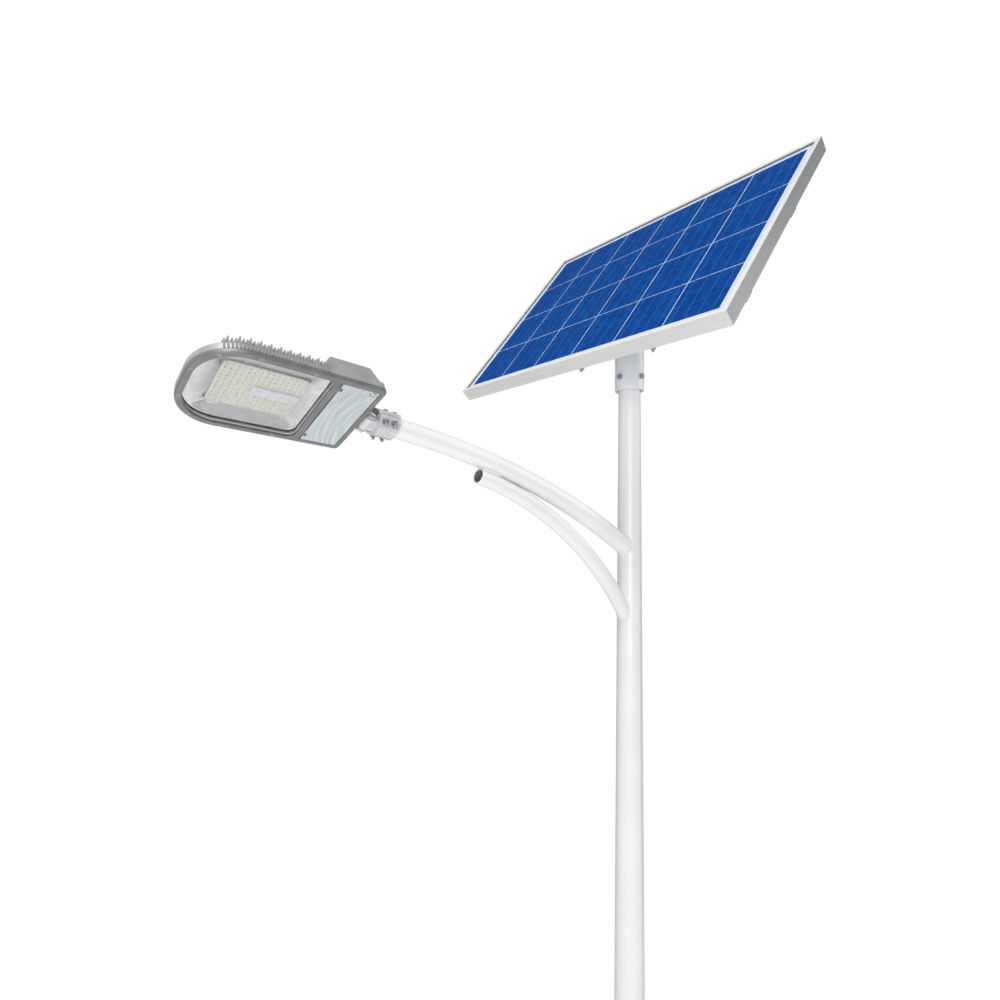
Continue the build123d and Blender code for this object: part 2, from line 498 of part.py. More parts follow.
def make_panel_mount():
    """Rails, clips and beams under the frame, and the battery's case."""
    parts = {}
    rail_top = -CLIP_THICK
    rail_low = rail_top - RAIL_SIDE
    half = RAIL_SIDE / 2
    beam_x = EAR_OUTER_X + SLIP
    bolt_x = beam_x + BEAM_LEG * 0.58
    clip_in, clip_out = RAIL_HALF_LENGTH - 46, PANEL_LENGTH / 2 - 4
    clip_rail_x, clip_flange_x = RAIL_HALF_LENGTH - 22, CLIP_FLANGE_X
    m6, m8 = CLIP_BOLT_D / 2, RAIL_BOLT_D / 2

    rails, clips, clip_bolts, rail_bolts, rail_nuts = [], [], [], [], []
    for v in (-RAIL_V, RAIL_V):
        rail = box(-RAIL_HALF_LENGTH, RAIL_HALF_LENGTH, v - half, v + half, rail_low, rail_top)
        rail -= box(-RAIL_HALF_LENGTH, RAIL_HALF_LENGTH, v - half + RAIL_WALL, v + half - RAIL_WALL,
                    rail_low + RAIL_WALL, rail_top - RAIL_WALL)
        for side in (-1, 1):
            rail -= rod(m8 + HOLE_GAP, (side * bolt_x, v, rail_low - 1), (side * bolt_x, v, rail_top + 1))
            rail -= rod(m6 + HOLE_GAP, (side * clip_rail_x, v, rail_top - RAIL_WALL - 1),
                        (side * clip_rail_x, v, rail_top + 1))
            x0, x1 = sorted((side * clip_in, side * clip_out))
            clip = box(x0, x1, v - CLIP_WIDTH / 2, v + CLIP_WIDTH / 2, -CLIP_THICK, 0)
            for x in (clip_rail_x, clip_flange_x):
                clip -= rod(m6 + HOLE_GAP, (side * x, v, -CLIP_THICK - 1), (side * x, v, 1))
            clips.append(clip)
            clip_bolts.append(bolt(2 * m6, 10, 4, (side * clip_rail_x, v, 0),
                                   (side * clip_rail_x, v, rail_top - RAIL_WALL - 4)))
            clip_bolts.append(bolt(2 * m6, 10, 4, (side * clip_flange_x, v, -CLIP_THICK),
                                   (side * clip_flange_x, v, FRAME_WALL + 6)))
            rail_bolts.append(bolt(2 * m8, 13, 2.8, (side * bolt_x, v, rail_top),
                                   (side * bolt_x, v, rail_low - BEAM_THICK - 10)))
            rail_nuts.append(nut(2 * m8, 13, (side * bolt_x, v, rail_low - BEAM_THICK),
                                 (side * bolt_x, v, rail_low - BEAM_THICK - 6.5)))
        rails.append(rail)
    parts["cross_rails"] = Compound(children=rails)
    parts["panel_clips"] = Compound(children=clips)
    parts["clip_bolts"] = Compound(children=clip_bolts)
    parts["rail_bolts"] = Compound(children=rail_bolts)
    parts["rail_nuts"] = Compound(children=rail_nuts)

    beam = box(beam_x, beam_x + BEAM_THICK, BEAM_LOW_V, BEAM_HIGH_V, rail_low - BEAM_LEG, rail_low)
    beam += box(beam_x, beam_x + BEAM_LEG, BEAM_LOW_V, BEAM_HIGH_V, rail_low - BEAM_THICK, rail_low)
    for v in (-RAIL_V, RAIL_V):
        beam -= rod(m8 + HOLE_GAP, (bolt_x, v, rail_low - BEAM_LEG), (bolt_x, v, rail_low + 1))
    beam -= rod(PIVOT_BOLT_D / 2 + RUN, (beam_x - 1, PIVOT_V, PIVOT_W), (beam_x + 9, PIVOT_V, PIVOT_W))
    lock_v = PIVOT_V + LOCK_RADIUS
    beam -= rod(LOCK_BOLT_D / 2 + RUN, (beam_x - 1, lock_v, PIVOT_W), (beam_x + 9, lock_v, PIVOT_W))
    parts["slope_beams"] = both_sides(beam)
    ear_in = EAR_OUTER_X - EAR_THICK
    parts["tilt_lock_bolts"] = both_sides(bolt(LOCK_BOLT_D, 13, 5.3, (beam_x + BEAM_THICK, lock_v, PIVOT_W),
                                               (ear_in - SLIP - 9, lock_v, PIVOT_W)))
    parts["tilt_lock_nuts"] = both_sides(nut(LOCK_BOLT_D, 13, (ear_in - SLIP, lock_v, PIVOT_W),
                                             (ear_in - SLIP - 6.5, lock_v, PIVOT_W)))

    case_top = -STRAP_THICK
    lid_thick = 4.0
    case_low = case_top - BATTERY_DEPTH
    v0, v1 = BATTERY_V - BATTERY_WIDTH / 2, BATTERY_V + BATTERY_WIDTH / 2
    half_x = BATTERY_LENGTH / 2
    case = box(-half_x, half_x, v0, v1, case_low + lid_thick, case_top)
    case = fillet(case.edges().filter_by(Axis.Z), 8)
    wall = BATTERY_WALL
    case -= box(-half_x + wall, half_x - wall, v0 + wall, v1 - wall, case_low + lid_thick, case_top - wall)
    gland_z = case_top - BATTERY_DEPTH / 2
    case -= rod(6 + RUN, (-60, v0 - 1, gland_z), (-60, v0 + 5, gland_z))
    parts["battery_case"] = case
    lid = extrude(RectangleRounded(BATTERY_LENGTH, BATTERY_WIDTH, 8), lid_thick)
    lid = Pos(0, BATTERY_V, case_low) * lid
    parts["battery_lid"] = lid
    pack = box(-half_x + 8, half_x - 8, v0 + 20, v1 - 8, case_low + lid_thick, case_top - wall - 8)
    parts["battery_pack"] = fillet(pack.edges().filter_by(Axis.X), 6)
    parts["battery_gland"] = (hex_bar(17, (-60, v0, gland_z), (-60, v0 - 9, gland_z))
                              + rod(6, (-60, v0 + 4, gland_z), (-60, v0 - 16, gland_z)))
    strap_v1 = PANEL_WIDTH / 2 - 6
    straps = []
    for x in (-95, 95):
        strap = box(x - 15, x + 15, RAIL_V + half, strap_v1, -STRAP_THICK, 0)
        strap += box(x - 15, x + 15, RAIL_V + half, RAIL_V + half + STRAP_THICK, rail_low + 6, 0)
        straps.append(strap)
    parts["battery_straps"] = Compound(children=straps)
    return parts


def make_panel():
    place = PANEL_PLANE.location
    return {name: place * shape for name, shape in {**make_laminate(), **make_panel_mount()}.items()}


# ================================================================ spigot clamp, in its own frame
# X out along the arm's end, Y to the lamp's right, Z up, origin at the clamp's datum on the arm's axis.
SPIGOT = Plane(origin=ARM_TIP + climb(ARM_END_SLOPE) * 6, x_dir=climb(ARM_END_SLOPE),
               z_dir=climb(ARM_END_SLOPE + 90) * 1).location * Rot(HEAD_ROLL, 0, 0)
HEAD = SPIGOT * Pos(KNUCKLE_X, 0, 0) * Rot(0, HEAD_DROOP, 0) * Pos(EAR_SETBACK, 0, -AXIS_RISE)


def make_spigot():
    parts = {}
    start = CLAMP_END - CLAMP_GRIP
    bore = rod(ARM_END_OD / 2 + RUN, (start - 1, 0, 0), (CLAMP_END - 2, 0, 0))
    round_body = rod(CLAMP_OUTER_R, (start, 0, 0), (CLAMP_END, 0, 0))
    wings = box(start, CLAMP_END, -CLAMP_FLANGE_Y, CLAMP_FLANGE_Y, -CLAMP_FLANGE_THICK, CLAMP_FLANGE_THICK)
    body = round_body + wings
    rib_places = [start + 3 + n * (CLAMP_GRIP - 6) / 4 for n in range(5)]
    for x in rib_places:
        body += rod(CLAMP_OUTER_R + 1.5, (x - 1.5, 0, 0), (x + 1.5, 0, 0))
    body -= bore
    bolt_xs = (start + 11, CLAMP_END - 10)
    bolts, nuts = [], []
    for x in bolt_xs:
        for y in (-CLAMP_BOLT_Y, CLAMP_BOLT_Y):
            body -= rod(SADDLE_BOLT_D / 2 + HOLE_GAP, (x, y, -20), (x, y, 20))
            body -= rod(6.6, (x, y, -40), (x, y, -CLAMP_FLANGE_THICK))
            body -= rod(6.6, (x, y, CLAMP_FLANGE_THICK), (x, y, 40))
            head, tip = (x, y, CLAMP_FLANGE_THICK), (x, y, -CLAMP_FLANGE_THICK - 12)
            bolts.append(bolt(SADDLE_BOLT_D, 10, 4.0, head, tip))
            nuts.append(nut(SADDLE_BOLT_D, 10, (x, y, -CLAMP_FLANGE_THICK), (x, y, -CLAMP_FLANGE_THICK - 5)))
    far = CLAMP_FLANGE_Y + 10
    upper = body & box(start - 1, CLAMP_END + 1, -far, far, CLAMP_SPLIT / 2, far)
    lower = body & box(start - 1, CLAMP_END + 1, -far, far, -far, -CLAMP_SPLIT / 2)
    lug = rod(LUG_R, (KNUCKLE_X, -LUG_HALF, 0), (KNUCKLE_X, LUG_HALF, 0))
    lug += box(CLAMP_END, KNUCKLE_X, -LUG_HALF, LUG_HALF, -LUG_R + 1, LUG_R)
    lug -= rod(KNUCKLE_BOLT_D / 2 + RUN, (KNUCKLE_X, -LUG_HALF - 1, 0), (KNUCKLE_X, LUG_HALF + 1, 0))
    parts["clamp_body"] = upper + lug
    parts["clamp_saddle"] = lower
    parts["clamp_bolts"] = Compound(children=bolts)
    parts["clamp_nuts"] = Compound(children=nuts)
    return {name: SPIGOT * shape for name, shape in parts.items()}


# ================================================================ lamp head, in its own frame
# X from the rear edge to the free end, Y to the lamp's right, Z up from the rim's face.
def outline(rear, front, half, rear_r, front_r, z):
    """Flat face with straight sides, a softly rounded rear and a well rounded free end."""
    face = Pos((rear + front) / 2, 0) * Rectangle(front - rear, 2 * half)
    return Pos(0, 0, z) * rounded(face, (rear_r, front_r))


def head_outline(inset, z, rear=None, rear_r=None):
    """The head's outline drawn in by an inset; a rear edge of its own may be given."""
    rear = inset if rear is None else rear
    rear_r = max(HEAD_REAR_R - inset, 3.0) if rear_r is None else rear_r
    return outline(rear, HEAD_LENGTH - inset, HEAD_WIDTH / 2 - inset, rear_r, HEAD_TIP_R - inset, z)


BOARD_TOP = BOARD_Z + BOARD_THICK
EAR_INNER = LUG_HALF + SLIP
EAR_OUTER = EAR_INNER + LAMP_EAR_THICK


def make_housing():
    body = extrude(head_outline(BODY_INSET, RIM_THICK), BODY_TOP - RIM_THICK)
    body = fillet(body.faces().sort_by(Axis.Z)[-1].edges(), 5)
    fins = []
    for n in range(FIN_COUNT):
        x = FIN_FIRST + n * FIN_PITCH
        drop = max(0.0, x + FIN_THICK - (HEAD_LENGTH - HEAD_TIP_R))
        bend = HEAD_TIP_R - sqrt(HEAD_TIP_R ** 2 - drop ** 2)
        half = HEAD_WIDTH / 2 + FIN_PROUD - bend
        top = FIN_TALL if n % 3 == 0 else FIN_TOP
        fins.append(box(x, x + FIN_THICK, -half, half, FIN_LOW, top))
    slab = Polyline((HUMP_REAR_LOW, BODY_TOP - 6), (HUMP_REAR_HIGH, HUMP_TOP), (HUMP_FRONT, HUMP_TOP),
                    (HUMP_FRONT, BODY_TOP - 6), close=True)
    hump = extrude(Plane.XZ * make_face(slab), HUMP_HALF, both=True)
    hump = fillet(hump.edges().filter_by(Axis.Y).sort_by(Axis.Z)[-2:], 4)
    body = body + fins + hump
    ear = Plane.XZ * (Pos(-EAR_SETBACK, AXIS_RISE) * Circle(LUG_R - 1))
    ear_arm = box(-EAR_SETBACK, BODY_WALL, EAR_INNER, EAR_OUTER, RIM_THICK, AXIS_RISE + LUG_R - 1)
    ear_solid = Pos(0, EAR_OUTER, 0) * extrude(ear, LAMP_EAR_THICK)
    ears = ear_solid + ear_arm
    ears += mirror(ears, Plane.XZ)
    body += ears
    body -= rod(KNUCKLE_BOLT_D / 2 + RUN, (-EAR_SETBACK, -EAR_OUTER - 1, AXIS_RISE),
                (-EAR_SETBACK, EAR_OUTER + 1, AXIS_RISE))
    wall = BODY_INSET + BODY_WALL
    body -= extrude(head_outline(wall, RIM_THICK, DIVIDER_FRONT - 2, 8.0), BOARD_TOP - RIM_THICK)
    gear = box(wall, DIVIDER_REAR + 2, -HUMP_HALF + HUMP_WALL - 1, HUMP_HALF - HUMP_WALL + 1,
               RIM_THICK, BODY_TOP - 8)
    roof, attic_front, gear_front = HUMP_TOP - HUMP_WALL, HUMP_FRONT - HUMP_WALL, DIVIDER_REAR + 2
    hollow = Polyline((HUMP_REAR_LOW + 7, BODY_TOP - 9), (HUMP_REAR_HIGH + 5, roof), (attic_front, roof),
                      (attic_front, BODY_TOP + 2), (gear_front, BODY_TOP + 2), (gear_front, BODY_TOP - 9),
                      close=True)
    attic = extrude(Plane.XZ * make_face(hollow), HUMP_HALF - HUMP_WALL, both=True)
    body = body - gear - attic
    for x, y in screw_places():
        body -= rod(RIM_SCREW_R + RUN, (x, y, RIM_THICK - 1), (x, y, RIM_THICK + RIM_SCREW_BITE + 1))
    return body


def lens_opening(grow, z, height):
    """Window of the rim, grown by an amount, as a solid between two heights."""
    face = head_outline(RIM_WIDTH - grow, z, DIVIDER_FRONT - grow, 14.0)
    return extrude(face, height)


def screw_places():
    """Where the rim's screws go: along both sides and round the free end."""
    side = HEAD_WIDTH / 2 - RIM_SCREW_INSET
    arc = HEAD_TIP_R - RIM_SCREW_INSET
    places = [(x, s * side) for x in (30, 128, 214) for s in (-1, 1)]
    centre_x, centre_y = HEAD_LENGTH - HEAD_TIP_R, HEAD_WIDTH / 2 - HEAD_TIP_R
    for angle in (38, 82):
        x = centre_x + arc * sin(radians(angle))
        places += [(x, s * (centre_y + arc * cos(radians(angle)))) for s in (-1, 1)]
    return places


def make_rim():
    parts = {}
    rim = extrude(head_outline(0, 0), RIM_THICK)
    rim = fillet(rim.faces().sort_by(Axis.Z)[0].edges(), 2.5)
    rim -= lens_opening(0, -1, RIM_THICK + 2)
    rim -= lens_opening(LENS_LEDGE, LEDGE_HEIGHT, RIM_THICK)
    rim -= box(DOOR_REAR, DIVIDER_REAR, -DOOR_HALF, DOOR_HALF, -1, RIM_THICK + 1)
    lugs = []
    for side in (-1, 1):
        y0, y1 = sorted((side * (HINGE_Y + SLIP), side * (HINGE_Y + SLIP + HINGE_LUG)))
        lug = rod(HINGE_R, (HINGE_X, y0, HINGE_Z), (HINGE_X, y1, HINGE_Z))
        lug += box(HINGE_X, DIVIDER_REAR + 0.5, y0, y1, HINGE_Z - HINGE_R, HINGE_Z + HINGE_R)
        lug -= rod(HINGE_PIN_R + RUN, (HINGE_X, y0 - 1, HINGE_Z), (HINGE_X, y1 + 1, HINGE_Z))
        lugs.append(lug)
    rim = rim + lugs
    keeper_low = DOOR_LOW + DOOR_THICK + 1
    rim -= box(DOOR_REAR - 5, DOOR_REAR + 1, LATCH_Y - LATCH_CAM, LATCH_Y + 6, keeper_low, RIM_THICK + 1)
    screws = []
    for x, y in screw_places():
        rim -= rod(RIM_SCREW_R + RUN, (x, y, -1), (x, y, RIM_THICK + 1))
        rim -= rod(3.8, (x, y, -1), (x, y, 1.6))
        head = rod(3.6, (x, y, -0.4), (x, y, 1.6)) - box(x - 2.6, x + 2.6, y - 0.5, y + 0.5, -1, 0.5)
        screws.append(head + rod(RIM_SCREW_R, (x, y, 1.6), (x, y, RIM_THICK + RIM_SCREW_BITE)))
    parts["lamp_rim"] = rim
    parts["rim_screws"] = Compound(children=screws)
    lens_low = LEDGE_HEIGHT
    parts["lens_glass"] = lens_opening(LENS_LEDGE - SLIP, lens_low, LENS_THICK)
    gasket_low = lens_low + LENS_THICK
    ring = lens_opening(LENS_LEDGE - SLIP, gasket_low, RIM_THICK - gasket_low)
    parts["lens_gasket"] = ring - lens_opening(0.5, gasket_low - 1, RIM_THICK)
    return parts


def make_optics():
    parts = {}
    low = RIM_THICK + 0.4
    wide = head_outline(REFLECTOR_INSET, low, DIVIDER_FRONT, 14.0)
    narrow = outline(BOARD_REAR, BOARD_FRONT, BOARD_HALF, 8.0, 8.0, BOARD_Z)
    shell = loft([wide, narrow])
    sheet = REFLECTOR_SHEET
    wide_in = head_outline(REFLECTOR_INSET + sheet, low - 0.01, DIVIDER_FRONT + sheet, 13.0)
    narrow_in = outline(BOARD_REAR + sheet, BOARD_FRONT - sheet, BOARD_HALF - sheet, 7.0, 7.0,
                        BOARD_Z + 0.01)
    parts["reflector"] = shell - loft([wide_in, narrow_in])

    half = BOARD_HALF + BOARD_LAP
    parts["led_board"] = box(BOARD_REAR - BOARD_LAP, BOARD_FRONT + BOARD_LAP, -half, half, BOARD_Z, BOARD_TOP)
    pitch_x = (BOARD_FRONT - BOARD_REAR - 12) / (CHIP_COLUMNS - 1)
    pitch_y = (2 * BOARD_HALF - 12) / (CHIP_ROWS - 1)
    first_x = (BOARD_REAR + BOARD_FRONT) / 2 - (CHIP_COLUMNS - 1) / 2 * pitch_x
    middle_row = (CHIP_ROWS - 1) // 2
    cover_x0 = first_x - COVER_MARGIN + 1
    cover_x1 = first_x + (COVER_COLUMNS - 1) * pitch_x + COVER_MARGIN - 1
    cover_half = (COVER_ROWS - 1) / 2 * pitch_y + COVER_MARGIN / 2 - 1
    cover = box(cover_x0, cover_x1, -cover_half, cover_half, BOARD_Z - COVER_THICK, BOARD_Z)
    parts["board_wire_cover"] = fillet(cover.edges().filter_by(Axis.Z), 4)
    chip = Pos(0, 0, BOARD_Z - CHIP_THICK / 2) * Box(CHIP_SIZE, CHIP_SIZE, CHIP_THICK)
    chips = []
    for i in range(CHIP_COLUMNS):
        for j in range(CHIP_ROWS):
            covered = i < COVER_COLUMNS and abs(j - middle_row) <= (COVER_ROWS - 1) // 2
            if not covered:
                chips.append(Pos(first_x + i * pitch_x, (j - middle_row) * pitch_y, 0) * chip)
    parts["led_chips"] = Compound(children=chips)
    return parts


def make_gear():
    """What the rear compartment holds, fixed to the roof of the hump."""
    parts = {}
    roof = HUMP_TOP - HUMP_WALL
    tray_top = roof - 6
    tray_x0, tray_x1 = HUMP_REAR_HIGH + 6, DIVIDER_REAR - 2
    half = HUMP_HALF - HUMP_WALL - 4
    tray = box(tray_x0, tray_x1, -half, half, tray_top - 1.5, tray_top)
    for x in (tray_x0 + 5, tray_x1 - 5):
        for y in (-half + 6, half - 6):
            tray += rod(3, (x, y, tray_top), (x, y, roof))
    parts["gear_tray"] = tray
    driver = box(tray_x0 + 3, tray_x1 - 3, -half + 14, -4, tray_top - 22, tray_top - 1.5)
    parts["led_driver"] = fillet(driver.edges().filter_by(Axis.Z), 3)
    controller = box(tray_x0 + 3, tray_x1 - 3, 4, half - 20, tray_top - 18, tray_top - 1.5)
    parts["charge_controller"] = fillet(controller.edges().filter_by(Axis.Z), 3)
    block_x0, block_x1, block_low = 22, 34, RIM_THICK + 0.5
    block = box(block_x0, block_x1, -24, 24, block_low, block_low + 11)
    for n in range(6):
        x, y = (block_x0 + block_x1) / 2, -20 + n * 8
        block -= rod(2.4, (x, y, block_low - 1), (x, y, block_low + 5))
    bracket = box(BODY_INSET + BODY_WALL, block_x0, -8, 8, block_low + 1, block_low + 4.5)
    parts["terminal_block"] = block + bracket
    bolt_z, x = AXIS_RISE, -EAR_SETBACK
    head_y = EAR_OUTER
    parts["knuckle_bolt"] = bolt(KNUCKLE_BOLT_D, 16, 6.4, (x, head_y, bolt_z), (x, -EAR_OUTER - 11, bolt_z))
    parts["knuckle_nut"] = nut(KNUCKLE_BOLT_D, 16, (x, -EAR_OUTER, bolt_z), (x, -EAR_OUTER - 8, bolt_z))
    return parts


def make_door():
    parts = {}
    low, high = DOOR_LOW, DOOR_LOW + DOOR_THICK
    front = HINGE_X + 2.0
    door = box(DOOR_REAR + DOOR_GAP, front, -DOOR_HALF + DOOR_GAP, DOOR_HALF - DOOR_GAP, low, high)
    for side in (-1, 1):
        barrel_end = side * (HINGE_Y - HINGE_BARREL)
        door += rod(HINGE_R, (HINGE_X, side * HINGE_Y, HINGE_Z), (HINGE_X, barrel_end, HINGE_Z))
        y0, y1 = sorted((side * (HINGE_Y + 0.0), side * (HINGE_Y + 2 * SLIP + HINGE_LUG)))
        door -= box(HINGE_X - HINGE_R - 0.6, front + 1, y0, y1, low - 1, high + 1)
        door -= rod(HINGE_PIN_R, (HINGE_X, side * (HINGE_Y + 1), HINGE_Z),
                    (HINGE_X, side * (HINGE_Y - HINGE_BARREL - 1), HINGE_Z))
    for x in (DOOR_REAR + 4, HINGE_X - 8):
        door += box(x, x + 2, -DOOR_RIB_HALF, DOOR_RIB_HALF, high, high + 3)
    door -= rod(LATCH_STUD_R + RUN, (LATCH_X, LATCH_Y, low - 1), (LATCH_X, LATCH_Y, high + 1))
    parts["gear_door"] = door
    pins = [rod(HINGE_PIN_R, (HINGE_X, side * (HINGE_Y - HINGE_BARREL), HINGE_Z),
                (HINGE_X, side * (HINGE_Y + SLIP + HINGE_LUG), HINGE_Z)) for side in (-1, 1)]
    parts["door_hinge_pins"] = Compound(children=pins)
    cam_low = high + 1 + SLIP
    head = rod(LATCH_HEAD_R, (LATCH_X, LATCH_Y, low - 1.6), (LATCH_X, LATCH_Y, low - 0.1))
    head -= box(LATCH_X - 5, LATCH_X + 5, LATCH_Y - 0.8, LATCH_Y + 0.8, low - 2, low - 0.8)
    stud = rod(LATCH_STUD_R, (LATCH_X, LATCH_Y, low - 0.1), (LATCH_X, LATCH_Y, cam_low + 2.2))
    cam = box(LATCH_X - 3.5, LATCH_X + 3.5, LATCH_Y - LATCH_CAM, LATCH_Y, cam_low, cam_low + 2)
    parts["door_latch"] = head + stud + cam
    return parts


def make_head():
    parts = {"lamp_housing": make_housing()}
    for maker in (make_rim, make_optics, make_gear, make_door):
        parts.update(maker())
    return {name: HEAD * shape for name, shape in parts.items()}


# ================================================================ the whole lamp
def make_lamp():
    lamp = {}
    for maker in (make_pole, make_arm, make_yoke, make_panel, make_spigot, make_head):
        lamp.update(maker())
    return lamp


if __name__ == "__main__":
    os.makedirs("parts", exist_ok=True)
    for name, shape in make_lamp().items():
        export_step(shape, os.path.join("parts", name + ".step"))
        print(name)
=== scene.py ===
# %% [markdown]
# # A solar street lamp, dressed for its picture
# The shapes of this lamp come from a finished CAD model, which is loaded here as a fixed frame.
# This script gives every piece the surface of its real material, adds what the model leaves out, which is
# weld beads, phosphor domes, a drawn reflector and a bare bore, and sets up a plain studio.
# Everything is in metres. Sizes in millimetres are named and turned into metres with MM.

# %% Load the frame
import json
from math import atan2, cos, pi, radians, sin

import bmesh
import bpy
from mathutils import Matrix, Vector


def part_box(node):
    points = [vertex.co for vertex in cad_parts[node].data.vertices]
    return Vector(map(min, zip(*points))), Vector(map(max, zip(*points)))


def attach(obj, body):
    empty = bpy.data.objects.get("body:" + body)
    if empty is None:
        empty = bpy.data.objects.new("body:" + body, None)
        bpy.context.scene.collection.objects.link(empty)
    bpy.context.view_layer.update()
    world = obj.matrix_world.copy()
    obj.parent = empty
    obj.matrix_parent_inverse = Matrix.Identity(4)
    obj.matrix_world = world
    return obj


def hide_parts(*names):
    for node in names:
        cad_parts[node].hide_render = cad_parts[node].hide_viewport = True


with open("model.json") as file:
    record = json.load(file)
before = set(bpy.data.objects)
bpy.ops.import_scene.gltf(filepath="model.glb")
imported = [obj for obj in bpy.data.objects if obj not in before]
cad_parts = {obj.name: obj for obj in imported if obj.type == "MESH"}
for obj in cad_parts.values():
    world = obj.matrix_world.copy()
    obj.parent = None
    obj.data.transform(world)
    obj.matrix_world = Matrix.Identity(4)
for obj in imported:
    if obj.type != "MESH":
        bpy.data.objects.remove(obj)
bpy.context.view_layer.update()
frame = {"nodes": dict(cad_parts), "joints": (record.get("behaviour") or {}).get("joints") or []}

MM = 0.001
nodes = frame["nodes"]
joints = {joint["name"]: joint for joint in frame["joints"]}

# %% [markdown]
# ## Two working frames
# The lamp head and the panel are both tilted, so anything made for them is easier to place in a frame
# of their own. The joints already say which way the head's axes point: the knuckle's axis runs across the
# head, and the door's fastener points out of its face. The panel's normal is read from its largest face.

# %% Frames of the head and the panel
def spread(points):
    """Lowest and highest corner of some points."""
    lows = Vector([min(p[i] for p in points) for i in range(3)])
    highs = Vector([max(p[i] for p in points) for i in range(3)])
    return lows, highs


def local_box(name, place):
    """A CAD node's corners in a local frame."""
    back = place.inverted()
    return spread([back @ v.co for v in nodes[name].data.vertices])


def frame_from(x_axis, y_axis, z_axis, origin):
    """A placing matrix from three axes and an origin."""
    turn = Matrix((x_axis, y_axis, z_axis)).transposed()
    return Matrix.Translation(origin) @ turn.to_4x4()


across = Vector(joints["lamp_tilt"]["axis"]).normalized()
upward = -Vector(joints["latch_turn"]["axis"]).normalized()
forward = across.cross(upward).normalized()
HEAD = frame_from(forward, across, upward, Vector(joints["lamp_tilt"]["pos_m"]))
low, high = local_box("lamp_rim", HEAD)
HEAD = HEAD @ Matrix.Translation((low.x, (low.y + high.y) / 2, low.z))

glass = nodes["panel_glass"].data
normal = max(glass.polygons, key=lambda face: face.area).normal.copy()
normal = normal if normal.z > 0 else -normal
PANEL = frame_from(Vector((1, 0, 0)), normal.cross(Vector((1, 0, 0))), normal, Vector((0, 0, 0)))
low, high = local_box("frame_long_rails", PANEL)
PANEL = PANEL @ Matrix.Translation(((low.x + high.x) / 2, (low.y + high.y) / 2, low.z))
for title, place in (("head", HEAD), ("panel", PANEL)):
    print(title, "frame at", [round(c, 4) for c in place.translation])

# %% [markdown]
# ## Camera
# The lamp is looked at level, from eye height well up the pole, with a wide lens. A little lens shift
# keeps the pole upright while the lamp sits a touch high in the frame.

# %% Camera
EYE_HEIGHT = 2.523
EYE_PLACE = (0.9923, -1.2865)
LOOK_TURN = 50.04
LENS_MM = 21.2
SHIFT_UP = 0.0316

camera_data = bpy.data.cameras.new("camera")
camera_data.sensor_width = 36.0
camera_data.lens = LENS_MM
camera_data.shift_y = SHIFT_UP
camera = bpy.data.objects.new("camera", camera_data)
camera.location = (*EYE_PLACE, EYE_HEIGHT)
camera.rotation_euler = (pi / 2, 0, radians(LOOK_TURN))
bpy.context.scene.collection.objects.link(camera)
bpy.context.scene.camera = camera
print("camera at", tuple(camera.location))

# %% [markdown]
# ## Small tools for colour and nodes
# Colours are picked as sRGB hex values, because that is how paint charts give them, and Cycles wants
# linear light, so one function turns them. One more function adds any node with its settings and links.

# %% Colour and node helpers
def linear(code, alpha=1.0):
    """An sRGB hex colour as linear RGBA."""
    parts = [int(code[i:i + 2], 16) / 255 for i in (0, 2, 4)]
    return [c / 12.92 if c <= 0.04045 else ((c + 0.055) / 1.055) ** 2.4 for c in parts] + [alpha]


def add(tree, kind, inputs=None, **settings):
    """Adds a node. Inputs are given by name or number, as values or as sockets to link from."""
    made = tree.nodes.new(kind)
    for key, value in settings.items():
        setattr(made, key, value)
    for key, value in (inputs or {}).items():
        if isinstance(value, bpy.types.NodeSocket):
            tree.links.new(value, made.inputs[key])
        else:
            made.inputs[key].default_value = value
    return made


def per_mm(size):
    """Texture scale at which a pattern repeats every so many millimetres, on coordinates in metres."""
    return 1.0 / (size * MM)


def start(name):
    """A new node material: its tree, its shader and the object's own coordinates."""
    material = bpy.data.materials.new(name)
    material.use_nodes = True
    tree = material.node_tree
    shader = tree.nodes["Principled BSDF"]
    where = add(tree, "ShaderNodeTexCoord").outputs["Object"]
    return material, tree, shader, where


def bump(tree, shader, height, depth_mm, strength=0.5):
    """Feeds a height pattern to the shader's normal."""
    made = add(tree, "ShaderNodeBump", {"Height": height, "Distance": depth_mm * MM, "Strength": strength})
    tree.links.new(made.outputs["Normal"], shader.inputs["Normal"])


def blend_colours(tree, factor, stops):
    """A colour ramp through hex stops, given as (place, code)."""
    ramp = add(tree, "ShaderNodeValToRGB", {"Fac": factor})
    elements = ramp.color_ramp.elements
    while len(elements) < len(stops):
        elements.new(0.5)
    for element, (place, code) in zip(elements, stops):
        element.position = place
        element.color = linear(code)
    return ramp.outputs["Color"]


def level(tree, value, low_out, high_out, low_in=0.0, high_in=1.0):
    """Stretches a value to a new range, such as a roughness."""
    made = add(tree, "ShaderNodeMapRange", {"Value": value, "From Min": low_in, "From Max": high_in,
                                            "To Min": low_out, "To Max": high_out})
    return made.outputs["Result"]


print("mid grey 808080 in linear light:", [round(c, 3) for c in linear("808080")])

# %% [markdown]
# ## Polyester powder coat
# The pole, the arm and the yoke are galvanised steel under a glossy white polyester powder coat.
# Baked powder flows into a faint orange peel a few millimetres wide, and picks up a little dust.
# It is a plastic skin, so it isn't metallic and has an IOR near 1.5.

